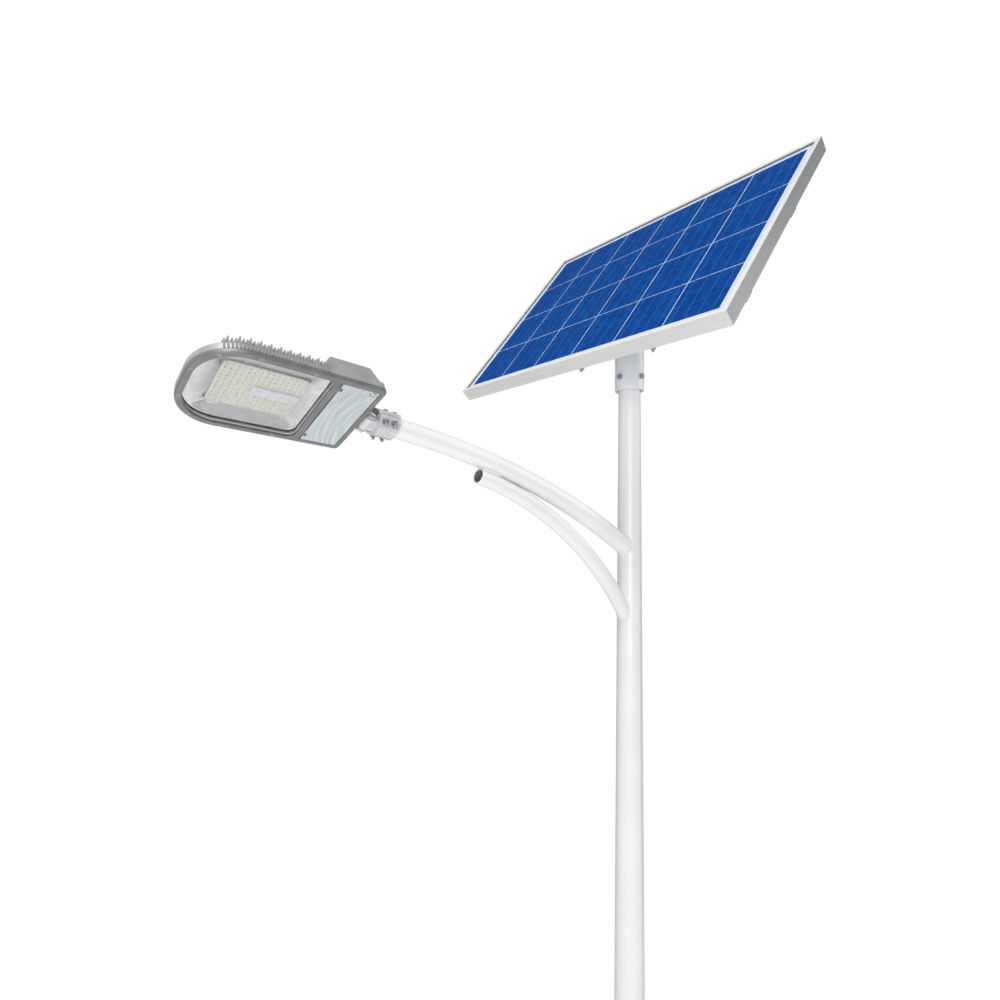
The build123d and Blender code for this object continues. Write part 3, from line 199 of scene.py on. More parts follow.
# %% White powder coat
def white_powder_coat():
    material, tree, shader, where = start("white_polyester_powder_coat")
    peel = add(tree, "ShaderNodeTexNoise", {"Vector": where, "Scale": per_mm(3.2), "Detail": 2.0})
    dust = add(tree, "ShaderNodeTexNoise", {"Vector": where, "Scale": per_mm(140.0), "Detail": 4.0})
    colour = blend_colours(tree, dust.outputs["Fac"], [(0.3, "F1F1F0"), (0.7, "F7F7F7")])
    tree.links.new(colour, shader.inputs["Base Color"])
    tree.links.new(level(tree, dust.outputs["Fac"], 0.24, 0.34), shader.inputs["Roughness"])
    shader.inputs["IOR"].default_value = 1.5
    bump(tree, shader, peel.outputs["Fac"], 0.12, 0.25)
    return material


# %% [markdown]
# ## Metals
# Hot-dip zinc is dull and grows spangles a centimetre or so wide. The panel's frame is extruded
# aluminium, anodised pale and satin, with draw lines along each rail; its lip is painted paler as a painted
# highlight, and its short rails darker as painted shade. Stainless fasteners are turned bright.
# The sleeve under the panel was ground smooth and wears a glossy white lacquer, so it isn't metallic either.

# %% Zinc, anodised aluminium and stainless steel
LIP_HEIGHT = local_box("frame_long_rails", PANEL)[1].z


def galvanised_steel():
    material, tree, shader, where = start("hot_dip_galvanised_steel")
    spangle = add(tree, "ShaderNodeTexVoronoi", {"Vector": where, "Scale": per_mm(9.0)})
    grey = add(tree, "ShaderNodeSeparateColor", {"Color": spangle.outputs["Color"]}).outputs["Red"]
    colour = blend_colours(tree, grey, [(0.0, "8E9194"), (0.55, "9DA0A3"), (1.0, "B0B3B5")])
    tree.links.new(colour, shader.inputs["Base Color"])
    tree.links.new(level(tree, grey, 0.42, 0.58), shader.inputs["Roughness"])
    shader.inputs["Metallic"].default_value = 0.6
    bloom = add(tree, "ShaderNodeTexNoise", {"Vector": where, "Scale": per_mm(2.0), "Detail": 3.0})
    bump(tree, shader, bloom.outputs["Fac"], 0.08, 0.3)
    return material


def into_frame(tree, where, place):
    """Object coordinates turned into a local frame, so a pattern lies square on its piece."""
    back = place.inverted()
    return add(tree, "ShaderNodeMapping", {"Vector": where, "Location": back.translation,
                                           "Rotation": back.to_euler()}).outputs["Vector"]


def anodised_frame_painted_lip(name, along, dark, pale):
    """Draw lines run along one axis of the panel. The sides are left matt, and the lip is painted paler, a
    painted highlight of its lit top.
    """
    material, tree, shader, where = start(name)
    local = into_frame(tree, where, PANEL)
    squeeze = [per_mm(1.6), per_mm(1.6), per_mm(1.6)]
    squeeze[along] = per_mm(400.0)
    lines = add(tree, "ShaderNodeMapping", {"Vector": local, "Scale": squeeze})
    drawn = add(tree, "ShaderNodeTexNoise", {"Vector": lines.outputs["Vector"], "Scale": 1.0, "Detail": 2.0})
    side = blend_colours(tree, drawn.outputs["Fac"], [(0.35, dark), (0.65, pale)])
    # painted highlight: the lip gets a paler colour than the sides, standing in for light falling on its top
    lip = blend_colours(tree, drawn.outputs["Fac"], [(0.35, "F2F3F3"), (0.65, "FAFAFA")])
    height = add(tree, "ShaderNodeSeparateXYZ", {"Vector": local}).outputs["Z"]
    lip_highlight_mask = level(tree, height, 0.0, 1.0, LIP_HEIGHT - 0.4 * MM, LIP_HEIGHT - 0.2 * MM)
    colour = add(tree, "ShaderNodeMix", {"Factor": lip_highlight_mask, 6: side, 7: lip}, data_type="RGBA").outputs[2]
    tree.links.new(colour, shader.inputs["Base Color"])
    tree.links.new(level(tree, drawn.outputs["Fac"], 0.34, 0.46), shader.inputs["Roughness"])
    shader.inputs["Metallic"].default_value = 0.2
    bump(tree, shader, drawn.outputs["Fac"], 0.02, 0.3)
    return material


def satin_steel():
    material, tree, shader, where = start("satin_lacquered_steel")
    ground = add(tree, "ShaderNodeTexNoise", {"Vector": where, "Scale": per_mm(2.4), "Detail": 2.0})
    colour = blend_colours(tree, ground.outputs["Fac"], [(0.3, "F8F8F8"), (0.7, "FDFDFD")])
    tree.links.new(colour, shader.inputs["Base Color"])
    tree.links.new(level(tree, ground.outputs["Fac"], 0.16, 0.22), shader.inputs["Roughness"])
    bump(tree, shader, ground.outputs["Fac"], 0.01, 0.2)
    return material


def stainless_steel():
    material, tree, shader, where = start("turned_stainless_steel")
    turned = add(tree, "ShaderNodeTexNoise", {"Vector": where, "Scale": per_mm(0.9), "Detail": 2.0})
    colour = blend_colours(tree, turned.outputs["Fac"], [(0.3, "B5B6B7"), (0.7, "DDDEDF")])
    tree.links.new(colour, shader.inputs["Base Color"])
    tree.links.new(level(tree, turned.outputs["Fac"], 0.22, 0.38), shader.inputs["Roughness"])
    shader.inputs["Metallic"].default_value = 1.0
    bump(tree, shader, turned.outputs["Fac"], 0.02, 0.25)
    return material


# %% [markdown]
# ## Silicon, ribbon, glass and backsheet
# Multicrystalline cells are slices of a cast block: flat crystals a centimetre or two wide, each a
# slightly different blue under the same nitride film, with hair-thin printed fingers across them.
# The fingers are really 2 mm apart and 0.08 mm wide, which would shimmer, and they are not drawn.

# %% The panel's materials
def silicon_cells():
    material, tree, shader, where = start("multicrystalline_silicon")
    warp = add(tree, "ShaderNodeTexNoise", {"Vector": where, "Scale": per_mm(30.0), "Detail": 3.0})
    bent = add(tree, "ShaderNodeMix", {"Factor": 0.012, 6: where, 7: warp.outputs["Color"]}, data_type="RGBA")
    crystal = add(tree, "ShaderNodeTexVoronoi", {"Vector": bent.outputs[2], "Scale": per_mm(13.0)})
    grain = add(tree, "ShaderNodeSeparateColor", {"Color": crystal.outputs["Color"]}).outputs["Green"]
    colour = blend_colours(tree, grain, [(0.0, "003E94"), (0.5, "00479B"), (0.8, "004DA1"), (1.0, "0A56A9")])
    tree.links.new(colour, shader.inputs["Base Color"])
    tree.links.new(level(tree, grain, 0.25, 0.4), shader.inputs["Roughness"])
    shader.inputs["IOR"].default_value = 1.3
    shader.inputs["Specular IOR Level"].default_value = 0.06
    return material


def tinned_ribbon():
    material, tree, shader, where = start("tinned_copper_ribbon")
    ripple = add(tree, "ShaderNodeTexNoise", {"Vector": where, "Scale": per_mm(6.0), "Detail": 1.0})
    colour = blend_colours(tree, ripple.outputs["Fac"], [(0.3, "2E68B4"), (0.7, "4880C6")])
    tree.links.new(colour, shader.inputs["Base Color"])
    shader.inputs["Metallic"].default_value = 0.3
    shader.inputs["Roughness"].default_value = 0.45
    return material


def backsheet():
    material, tree, shader, where = start("white_polymer_backsheet")
    weave = add(tree, "ShaderNodeTexNoise", {"Vector": where, "Scale": per_mm(8.0), "Detail": 2.0})
    colour = blend_colours(tree, weave.outputs["Fac"], [(0.3, "DEEDFF"), (0.7, "EAF5FF")])
    tree.links.new(colour, shader.inputs["Base Color"])
    shader.inputs["Roughness"].default_value = 0.5
    bump(tree, shader, weave.outputs["Fac"], 0.05, 0.2)
    return material


def clear_glass(name, alpha, roughness):
    """Thin clear glass. It is drawn as a see-through skin, so what lies behind it is lit as it should be."""
    material, tree, shader, where = start(name)
    smear = add(tree, "ShaderNodeTexNoise", {"Vector": where, "Scale": per_mm(60.0), "Detail": 3.0})
    tree.links.new(level(tree, smear.outputs["Fac"], roughness, roughness + 0.06), shader.inputs["Roughness"])
    shader.inputs["Base Color"].default_value = linear("3A4548")
    shader.inputs["IOR"].default_value = 1.5
    shader.inputs["Specular IOR Level"].default_value = 0.3
    shader.inputs["Alpha"].default_value = alpha
    return material


# %% [markdown]
# ## Plastics and boxes
# The junction box and the glands are black ABS with a fine spark-eroded grain. The battery's case is
# folded sheet under a light grey powder coat, and its cells are wrapped in blue film.

# %% Plastics and sheet-metal boxes
def moulded_abs():
    material, tree, shader, where = start("black_moulded_abs")
    grain = add(tree, "ShaderNodeTexNoise", {"Vector": where, "Scale": per_mm(0.8), "Detail": 2.0})
    colour = blend_colours(tree, grain.outputs["Fac"], [(0.3, "1B1B1C"), (0.7, "252627")])
    tree.links.new(colour, shader.inputs["Base Color"])
    tree.links.new(level(tree, grain.outputs["Fac"], 0.4, 0.55), shader.inputs["Roughness"])
    bump(tree, shader, grain.outputs["Fac"], 0.05, 0.5)
    return material


def grey_powder_coat():
    material, tree, shader, where = start("light_grey_powder_coat")
    peel = add(tree, "ShaderNodeTexNoise", {"Vector": where, "Scale": per_mm(2.6), "Detail": 2.0})
    colour = blend_colours(tree, peel.outputs["Fac"], [(0.35, "BFC1C3"), (0.65, "C9CBCD")])
    tree.links.new(colour, shader.inputs["Base Color"])
    shader.inputs["Roughness"].default_value = 0.45
    bump(tree, shader, peel.outputs["Fac"], 0.12, 0.35)
    return material


def battery_film():
    material, tree, shader, where = start("blue_shrink_film")
    wrinkle = add(tree, "ShaderNodeTexNoise", {"Vector": where, "Scale": per_mm(18.0), "Detail": 3.0})
    colour = blend_colours(tree, wrinkle.outputs["Fac"], [(0.3, "123A7C"), (0.7, "1C4C98")])
    tree.links.new(colour, shader.inputs["Base Color"])
    shader.inputs["Roughness"].default_value = 0.28
    bump(tree, shader, wrinkle.outputs["Fac"], 0.3, 0.4)
    return material


# %% [markdown]
# ## The head's castings
# The head and its clamp are pressure die-cast aluminium, shot-blasted and sprayed silver grey. The
# lacquer holds fine aluminium flakes, so it is part metallic. The rim's copy is painted darker as painted
# shade, and the clamp's copy paler as painted light.

# %% Sprayed castings
def sprayed_casting(name, dark, pale):
    material, tree, shader, where = start(name)
    flake = add(tree, "ShaderNodeTexNoise", {"Vector": where, "Scale": per_mm(1.1), "Detail": 3.0})
    cloud = add(tree, "ShaderNodeTexNoise", {"Vector": where, "Scale": per_mm(26.0), "Detail": 3.0})
    mixed = add(tree, "ShaderNodeMath", {0: flake.outputs["Fac"], 1: cloud.outputs["Fac"]}, operation="ADD")
    half = level(tree, mixed.outputs["Value"], 0.0, 1.0, 0.6, 1.4)
    tree.links.new(blend_colours(tree, half, [(0.1, dark), (0.9, pale)]), shader.inputs["Base Color"])
    tree.links.new(level(tree, cloud.outputs["Fac"], 0.4, 0.55), shader.inputs["Roughness"])
    shader.inputs["Metallic"].default_value = 0.35
    bump(tree, shader, flake.outputs["Fac"], 0.1, 0.45)
    return material


# painted highlight: the grey rubber gasket is coloured near white, standing in for the bright highlight round
# the reflector's lip
def silicone_rubber_painted_highlight():
    material, tree, shader, where = start("pale_silicone_painted_highlight")
    skin = add(tree, "ShaderNodeTexNoise", {"Vector": where, "Scale": per_mm(1.5), "Detail": 2.0})
    colour = blend_colours(tree, skin.outputs["Fac"], [(0.3, "DDDDDC"), (0.7, "E8E8E7")])
    tree.links.new(colour, shader.inputs["Base Color"])
    shader.inputs["Roughness"].default_value = 0.6
    bump(tree, shader, skin.outputs["Fac"], 0.05, 0.3)
    return material


# %% [markdown]
# ## Bright reflector and gear door
# The reflector is deep-drawn from bright-anodised aluminium, close to a mirror but slightly wavy where
# the press stretched it. The gear door is bright sheet that was polished by hand, in long curved strokes.

# %% Reflector and door finishes
STROKE_LEAN = 2.2
STROKE_WIDTH = 5.0
STROKE_LENGTH = 95.0


def bright_anodised_reflector():
    material, tree, shader, where = start("bright_anodised_reflector")
    stretch = add(tree, "ShaderNodeTexNoise", {"Vector": where, "Scale": per_mm(24.0), "Detail": 2.0})
    colour = blend_colours(tree, stretch.outputs["Fac"], [(0.3, "EEF0F2"), (0.7, "FAFBFC")])
    tree.links.new(colour, shader.inputs["Base Color"])
    tree.links.new(level(tree, stretch.outputs["Fac"], 0.05, 0.12), shader.inputs["Roughness"])
    shader.inputs["Metallic"].default_value = 1.0
    bump(tree, shader, stretch.outputs["Fac"], 0.8, 0.4)
    return material


def polished_door_sheet():
    material, tree, shader, where = start("hand_polished_aluminium_sheet")
    local = add(tree, "ShaderNodeSeparateXYZ", {"Vector": into_frame(tree, where, HEAD)})
    lean = add(tree, "ShaderNodeMath", {0: local.outputs["Y"], 1: STROKE_LEAN}, operation="MULTIPLY")
    bend = add(tree, "ShaderNodeMath", {0: lean.outputs[0], 1: local.outputs["Y"]}, operation="MULTIPLY")
    fanned = add(tree, "ShaderNodeMath", {0: local.outputs["X"], 1: bend.outputs[0]}, operation="ADD")
    across_strokes = add(tree, "ShaderNodeMath", {0: fanned.outputs[0], 1: per_mm(STROKE_WIDTH)},
                         operation="MULTIPLY")
    along_strokes = add(tree, "ShaderNodeMath", {0: local.outputs["Y"], 1: per_mm(STROKE_LENGTH)},
                        operation="MULTIPLY")
    path = add(tree, "ShaderNodeCombineXYZ", {0: across_strokes.outputs[0], 1: along_strokes.outputs[0]})
    strokes = add(tree, "ShaderNodeTexNoise", {"Vector": path.outputs["Vector"], "Scale": 1.0, "Detail": 7.0,
                                               "Roughness": 0.7, "Distortion": 0.25})
    colour = blend_colours(tree, strokes.outputs["Fac"], [(0.3, "A9B1B6"), (0.5, "C2CACD"), (0.7, "DFE5E8")])
    tree.links.new(colour, shader.inputs["Base Color"])
    tree.links.new(level(tree, strokes.outputs["Fac"], 0.42, 0.34), shader.inputs["Roughness"])
    shader.inputs["Metallic"].default_value = 0.55
    bump(tree, shader, strokes.outputs["Fac"], 0.12, 0.3)
    return material


# %% [markdown]
# ## Lamp board
# The chips sit on an aluminium board with a white solder mask, which the phosphor tints a warm grey.
# Each chip is a white ceramic cup filled with yellow phosphor in silicone.

# %% Board and chip materials
def solder_mask():
    material, tree, shader, where = start("white_solder_mask")
    mottle = add(tree, "ShaderNodeTexNoise", {"Vector": where, "Scale": per_mm(3.5), "Detail": 4.0})
    colour = blend_colours(tree, mottle.outputs["Fac"], [(0.3, "CDCEC4"), (0.7, "E0E1D8")])
    tree.links.new(colour, shader.inputs["Base Color"])
    shader.inputs["Roughness"].default_value = 0.4
    bump(tree, shader, mottle.outputs["Fac"], 0.1, 0.3)
    return material


def phosphor():
    material, tree, shader, where = start("yellow_phosphor_in_silicone")
    speck = add(tree, "ShaderNodeTexNoise", {"Vector": where, "Scale": per_mm(7.0), "Detail": 2.0})
    colour = blend_colours(tree, speck.outputs["Fac"], [(0.3, "B8B484"), (0.5, "CECA98"), (0.75, "ECEACC")])
    tree.links.new(colour, shader.inputs["Base Color"])
    shader.inputs["Roughness"].default_value = 0.25
    shader.inputs["Subsurface Weight"].default_value = 0.1
    return material


def ceramic():
    material, tree, shader, where = start("white_ceramic_package")
    fired = add(tree, "ShaderNodeTexNoise", {"Vector": where, "Scale": per_mm(1.0), "Detail": 1.0})
    colour = blend_colours(tree, fired.outputs["Fac"], [(0.3, "D6D6CC"), (0.7, "E2E2D9")])
    tree.links.new(colour, shader.inputs["Base Color"])
    shader.inputs["Roughness"].default_value = 0.35
    return material


def pale_cover():
    material, tree, shader, where = start("pale_polycarbonate_cover")
    haze = add(tree, "ShaderNodeTexNoise", {"Vector": where, "Scale": per_mm(12.0), "Detail": 2.0})
    colour = blend_colours(tree, haze.outputs["Fac"], [(0.3, "CFCFD6"), (0.7, "DEDEE5")])
    tree.links.new(colour, shader.inputs["Base Color"])
    shader.inputs["Roughness"].default_value = 0.3
    return material


# %% Give each CAD node its finish
powder = white_powder_coat()
zinc = galvanised_steel()
stainless = stainless_steel()
casting = sprayed_casting("sprayed_die_casting", "A4A4A4", "BCBCBC")
# painted shade: the rim is the same sprayed casting, coloured darker for the shade under the head
rim_casting_painted_shade = sprayed_casting("sprayed_casting_painted_rim_shade", "727272", "8C8C8C")
# painted light: the clamp is the same sprayed casting, coloured paler to stand in for light on its shaded
# underside
clamp_casting_painted_light = sprayed_casting("sprayed_clamp_painted_light", "CBCBCE", "E6E6E9")
abs_black = moulded_abs()
case_grey = grey_powder_coat()
silicone = silicone_rubber_painted_highlight()
reflector_finish = bright_anodised_reflector()
board_finish = solder_mask()
phosphor_finish = phosphor()
cover_finish = pale_cover()
finishes = {
    powder: "pole_shaft pole_cap base_flange base_gussets arm_tube strut_tube arm_strut_welds "
            "sleeve_thrust_plate yoke_crossbar yoke_ears",
    satin_steel(): "panel_sleeve",
    zinc: "slope_beams cross_rails panel_clips battery_straps tilt_pivot_studs tilt_pivot_nuts "
          "tilt_lock_bolts tilt_lock_nuts rail_bolts rail_nuts clip_bolts gear_tray rim_screws "
          "sleeve_clamp_bolts clamp_bolts clamp_nuts",
    stainless: "knuckle_bolt knuckle_nut door_latch door_hinge_pins",
    anodised_frame_painted_lip("anodised_long_rails_painted_lip", 0, "CDCECE", "D9D9D9"): "frame_long_rails corner_keys",
    # painted shade: the short rails are the same anodised aluminium, given darker colours for the shade on
    # their outer faces
    anodised_frame_painted_lip("anodised_short_rails_painted_shade", 1, "929395", "9EA0A1"): "frame_short_rails",
    clear_glass("low_iron_solar_glass", 0.04, 0.08): "panel_glass",
    silicon_cells(): "solar_cells",
    tinned_ribbon(): "cell_ribbons",
    backsheet(): "backsheet",
    abs_black: "junction_box junction_box_lid junction_box_glands battery_gland terminal_block",
    case_grey: "battery_case battery_lid led_driver charge_controller",
    battery_film(): "battery_pack",
    casting: "lamp_housing",
    clamp_casting_painted_light: "clamp_body clamp_saddle",
    rim_casting_painted_shade: "lamp_rim",
    clear_glass("clear_lens_glass", 0.025, 0.03): "lens_glass",
    # painted highlight: the gasket's pale colour stands in for a highlight along the lip
    silicone: "lens_gasket",
    reflector_finish: "reflector",
    board_finish: "led_board",
    ceramic(): "led_chips",
    cover_finish: "board_wire_cover",
    polished_door_sheet(): "gear_door",
}
for material, names in finishes.items():
    for name in names.split():
        nodes[name].data.materials.clear()
        nodes[name].data.materials.append(material)
print("finishes given to", sum(len(names.split()) for names in finishes.values()), "of", len(nodes), "nodes")

# %% [markdown]
# ## Small tools for Geometry Nodes
# Pieces that repeat by a rule are made with Geometry Nodes. Each group gets named inputs, is set through its
# socket identifiers, and is turned into a plain mesh at the end, so that it rides on its body like any piece.

# %% Geometry Nodes helpers
def new_group(name, inputs):
    """A geometry node group with its interface. Inputs are (name, socket type, default)."""
    group = bpy.data.node_groups.new(name, "GeometryNodeTree")
    group.interface.new_socket("Geometry", in_out="INPUT", socket_type="NodeSocketGeometry")
    for label, kind, default in inputs:
        socket = group.interface.new_socket(label, in_out="INPUT", socket_type=kind)
        if default is not None:
            socket.default_value = default
    group.interface.new_socket("Geometry", in_out="OUTPUT", socket_type="NodeSocketGeometry")
    return group, group.nodes.new("NodeGroupInput"), group.nodes.new("NodeGroupOutput")


def grow(name, base, group, values, body):
    """Runs a node group on a base mesh, keeps the result as a plain mesh, and lets it ride on a body."""
    carrier = bpy.data.objects.new(name + "_carrier", base)
    bpy.context.scene.collection.objects.link(carrier)
    modifier = carrier.modifiers.new(name, "NODES")
    modifier.node_group = group
    for item in group.interface.items_tree:
        if item.in_out == "INPUT" and item.name in values:
            modifier[item.identifier] = values[item.name]
    bpy.context.view_layer.update()
    graph = bpy.context.evaluated_depsgraph_get()
    mesh = bpy.data.meshes.new_from_object(carrier.evaluated_get(graph))
    mesh.name = name
    bpy.data.objects.remove(carrier)
    piece = bpy.data.objects.new(name, mesh)
    bpy.context.scene.collection.objects.link(piece)
    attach(piece, body)
    print(name, "has", len(mesh.polygons), "faces on body", body)
    return piece


def mesh_from(name, points, faces=(), edges=()):
    mesh = bpy.data.meshes.new(name)
    mesh.from_pydata([tuple(p) for p in points], list(edges), list(faces))
    return mesh


# %% [markdown]
# ## Phosphor domes
# Each chip on the board is a small white cup, which is in the CAD model, topped by a dome of yellow
# phosphor gel, which isn't. One dome goes on each chip, in a slightly different size, as gel is dosed
# by drops.

# %% Domes on the chips
DOME_RADIUS = 1.2
DOME_HEIGHT = 0.55
DOME_SPREAD = 0.25


def dome_group():
    group, given, result = new_group("phosphor_domes", [
        ("Radius", "NodeSocketFloat", DOME_RADIUS * MM), ("Height", "NodeSocketFloat", DOME_HEIGHT * MM),
        ("Spread", "NodeSocketFloat", DOME_SPREAD), ("Seed", "NodeSocketInt", 4),
        ("Turn", "NodeSocketRotation", None), ("Material", "NodeSocketMaterial", None)])
    ball = add(group, "GeometryNodeMeshUVSphere", {"Segments": 10, "Rings": 6, "Radius": 1.0})
    size = add(group, "ShaderNodeCombineXYZ", {0: given.outputs["Radius"], 1: given.outputs["Radius"],
                                               2: given.outputs["Height"]})
    less = add(group, "ShaderNodeMath", {0: 1.0, 1: given.outputs["Spread"]}, operation="SUBTRACT")
    more = add(group, "ShaderNodeMath", {0: 1.0, 1: given.outputs["Spread"]}, operation="ADD")
    drop = add(group, "FunctionNodeRandomValue", {2: less.outputs[0], 3: more.outputs[0],
                                                  "Seed": given.outputs["Seed"]}, data_type="FLOAT")
    scaled = add(group, "ShaderNodeVectorMath", {0: size.outputs[0], "Scale": drop.outputs[1]},
                 operation="SCALE")
    domes = add(group, "GeometryNodeInstanceOnPoints", {
        "Points": given.outputs["Geometry"], "Instance": ball.outputs["Mesh"],
        "Rotation": given.outputs["Turn"], "Scale": scaled.outputs["Vector"]})
    real = add(group, "GeometryNodeRealizeInstances", {"Geometry": domes.outputs["Instances"]})
    dressed = add(group, "GeometryNodeSetMaterial", {"Geometry": real.outputs["Geometry"],
                                                     "Material": given.outputs["Material"]})
    group.links.new(dressed.outputs["Geometry"], result.inputs["Geometry"])
    return group


def islands(mesh):
    """Centres of a mesh's separate lumps, in the order of their first corners, so every run agrees."""
    shape = bmesh.new()
    shape.from_mesh(mesh)
    met, centres = set(), []
    for first in shape.verts:
        if first.index in met:
            continue
        met.add(first.index)
        stack, lump = [first], []
        while stack:
            vert = stack.pop()
            lump.append(vert.co.copy())
            for edge in vert.link_edges:
                other = edge.other_vert(vert)
                if other.index not in met:
                    met.add(other.index)
                    stack.append(other)
        centres.append(sum(lump, Vector()) / len(lump))
    shape.free()
    return centres


def merged(node):
    """A copy of a CAD mesh with its split corners joined, so that its lumps can be told apart."""
    mesh = nodes[node].data.copy()
    shape = bmesh.new()
    shape.from_mesh(mesh)
    bmesh.ops.remove_doubles(shape, verts=shape.verts, dist=0.01 * MM)
    shape.to_mesh(mesh)
    shape.free()
    return mesh


chip_low, chip_high = local_box("led_chips", HEAD)
drop_face = (chip_high.z - chip_low.z) / 2
chip_centres = islands(merged("led_chips"))
tops = [centre - HEAD.to_3x3() @ Vector((0, 0, drop_face)) for centre in chip_centres]
grow("phosphor_domes", mesh_from("dome_points", tops), dome_group(),
     {"Turn": HEAD.to_euler(), "Material": phosphor_finish}, "lamp_head")
print(len(tops), "chips were given a dome")

# %% [markdown]
# ## Weld beads
# The arm and the strut are welded to the pole, and the pole to its flange. A welder lays the bead in a row
# of overlapping drops, which still show as faint ripples under the powder coat. The arm's and the strut's
# paths are read from where the CAD pieces meet, the flange's is a ring, and drops are strung along them.

# %% Beads along the joints
BEAD_RADIUS = 3.0
BEAD_STEP = 1.5
BEAD_SPREAD = 0.12
BEAD_FLATNESS = 0.7
CONTACT = 0.4
LOOP_POINTS = 72
RING_POINTS = 96
POLE_CONE = ((0.014, 0.049), (3.041, 0.028))


def bead_group():
    group, given, result = new_group("weld_beads", [
        ("Radius", "NodeSocketFloat", BEAD_RADIUS * MM), ("Step", "NodeSocketFloat", BEAD_STEP * MM),
        ("Spread", "NodeSocketFloat", BEAD_SPREAD), ("Seed", "NodeSocketInt", 11),
        ("Material", "NodeSocketMaterial", None)])
    path = add(group, "GeometryNodeMeshToCurve", {"Mesh": given.outputs["Geometry"]})
    even = add(group, "GeometryNodeResampleCurve", {"Curve": path.outputs["Curve"],
                                                    "Length": given.outputs["Step"]}, mode="LENGTH")
    along = add(group, "GeometryNodeInputTangent")
    turn = add(group, "FunctionNodeAlignRotationToVector", {"Vector": along.outputs["Tangent"]}, axis="Z")
    drop = add(group, "GeometryNodeMeshUVSphere", {"Segments": 14, "Rings": 7, "Radius": 1.0})
    less = add(group, "ShaderNodeMath", {0: 1.0, 1: given.outputs["Spread"]}, operation="SUBTRACT")
    more = add(group, "ShaderNodeMath", {0: 1.0, 1: given.outputs["Spread"]}, operation="ADD")
    vary = add(group, "FunctionNodeRandomValue", {2: less.outputs[0], 3: more.outputs[0],
                                                  "Seed": given.outputs["Seed"]}, data_type="FLOAT")
    size = add(group, "ShaderNodeMath", {0: given.outputs["Radius"], 1: vary.outputs[1]},
               operation="MULTIPLY")
    flat = add(group, "ShaderNodeMath", {0: size.outputs[0], 1: BEAD_FLATNESS}, operation="MULTIPLY")
    shape = add(group, "ShaderNodeCombineXYZ", {0: size.outputs[0], 1: size.outputs[0], 2: flat.outputs[0]})
    beads = add(group, "GeometryNodeInstanceOnPoints", {
        "Points": even.outputs["Curve"], "Instance": drop.outputs["Mesh"],
        "Rotation": turn.outputs["Rotation"], "Scale": shape.outputs["Vector"]})
    real = add(group, "GeometryNodeRealizeInstances", {"Geometry": beads.outputs["Instances"]})
    smooth = add(group, "GeometryNodeSetShadeSmooth", {"Geometry": real.outputs["Geometry"]})
    dressed = add(group, "GeometryNodeSetMaterial", {"Geometry": smooth.outputs["Geometry"],
                                                     "Material": given.outputs["Material"]})
    group.links.new(dressed.outputs["Geometry"], result.inputs["Geometry"])
    return group


def pole_edge(height):
    """Outside radius of the tapered pole at a height."""
    (low_z, low_r), (high_z, high_r) = POLE_CONE
    return low_r + (high_r - low_r) * (height - low_z) / (high_z - low_z)


def root_loop(node):
    """The outer edge of a tube where it meets the pole, as points in order round it."""
    on_pole = [v.co for v in nodes[node].data.vertices
               if abs(v.co.xy.length - pole_edge(v.co.z)) < CONTACT * MM]
    centre = sum(on_pole, Vector()) / len(on_pole)
    around = {}
    for co in on_pole:
        offset = co - centre
        angle = atan2(offset.z, offset.x)
        slot = round(angle / (2 * pi) * LOOP_POINTS) % LOOP_POINTS
        if slot not in around or offset.length > around[slot].length:
            around[slot] = offset
    return [centre + around[slot] for slot in sorted(around)]


def closed(points, start_at):
    return [(start_at + i, start_at + (i + 1) % len(points)) for i in range(len(points))]


flange_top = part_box("base_flange")[1][2]
ring_radius = pole_edge(flange_top)
ring_angles = [2 * pi * i / RING_POINTS for i in range(RING_POINTS)]
base_ring = [Vector((ring_radius * cos(a), ring_radius * sin(a), flange_top)) for a in ring_angles]
bead_points, bead_edges = [], []
for loop in (root_loop("arm_tube"), root_loop("strut_tube"), base_ring):
    bead_edges += closed(loop, len(bead_points))
    bead_points += loop
grow("pole_weld_beads", mesh_from("bead_paths", bead_points, edges=bead_edges), bead_group(),
     {"Material": powder}, "pole")

# %% [markdown]
# ## Deep-drawn reflector
# The CAD reflector has flat walls and sharp corners. A real one is pressed from one sheet, so its walls curve
# from the lens down to the board, and its corners are round. This dish takes the CAD piece's place, and
# keeps within the same space: the same rim outline, the same depth and the same opening for the board.
# Its wall leaves the rim at a shallow slope and gets steeper towards the board.

# %% Reflector dish
DISH_STEPS = 26
DISH_SPANS = 180
DISH_SHEET = 0.6
DISH_CURVE = 1.7
DISH_INWARD = 0.9
DISH_HEADROOM = 0.05
REAR_CORNER = 14.0
FRONT_CORNER = 66.0
BOARD_CORNER = 10.0
BOARD_LAP = 4.0


def round_box(low_x, high_x, half, rear_r, front_r, angle, centre_x):
    """Where a ray from the centre leaves a rounded outline, as (x, y)."""
    dx, dy = cos(angle), sin(angle)
    reach_x = (high_x - centre_x) / dx if dx > 1e-9 else ((low_x - centre_x) / dx if dx < -1e-9 else 1e9)
    reach_y = half / abs(dy) if abs(dy) > 1e-9 else 1e9
    reach = min(reach_x, reach_y)
    radius = front_r if dx > 0 else rear_r
    corner_x = high_x - radius if dx > 0 else low_x + radius
    corner_y = (half - radius) * (1 if dy > 0 else -1)
    px, py = centre_x + reach * dx, reach * dy
    past_x = px > corner_x if dx > 0 else px < corner_x
    if past_x and abs(py) > half - radius:
        fx, fy = centre_x - corner_x, -corner_y
        b = fx * dx + fy * dy
        c = fx * fx + fy * fy - radius * radius
        reach = -b + max(b * b - c, 0.0) ** 0.5
    return centre_x + reach * dx, reach * dy


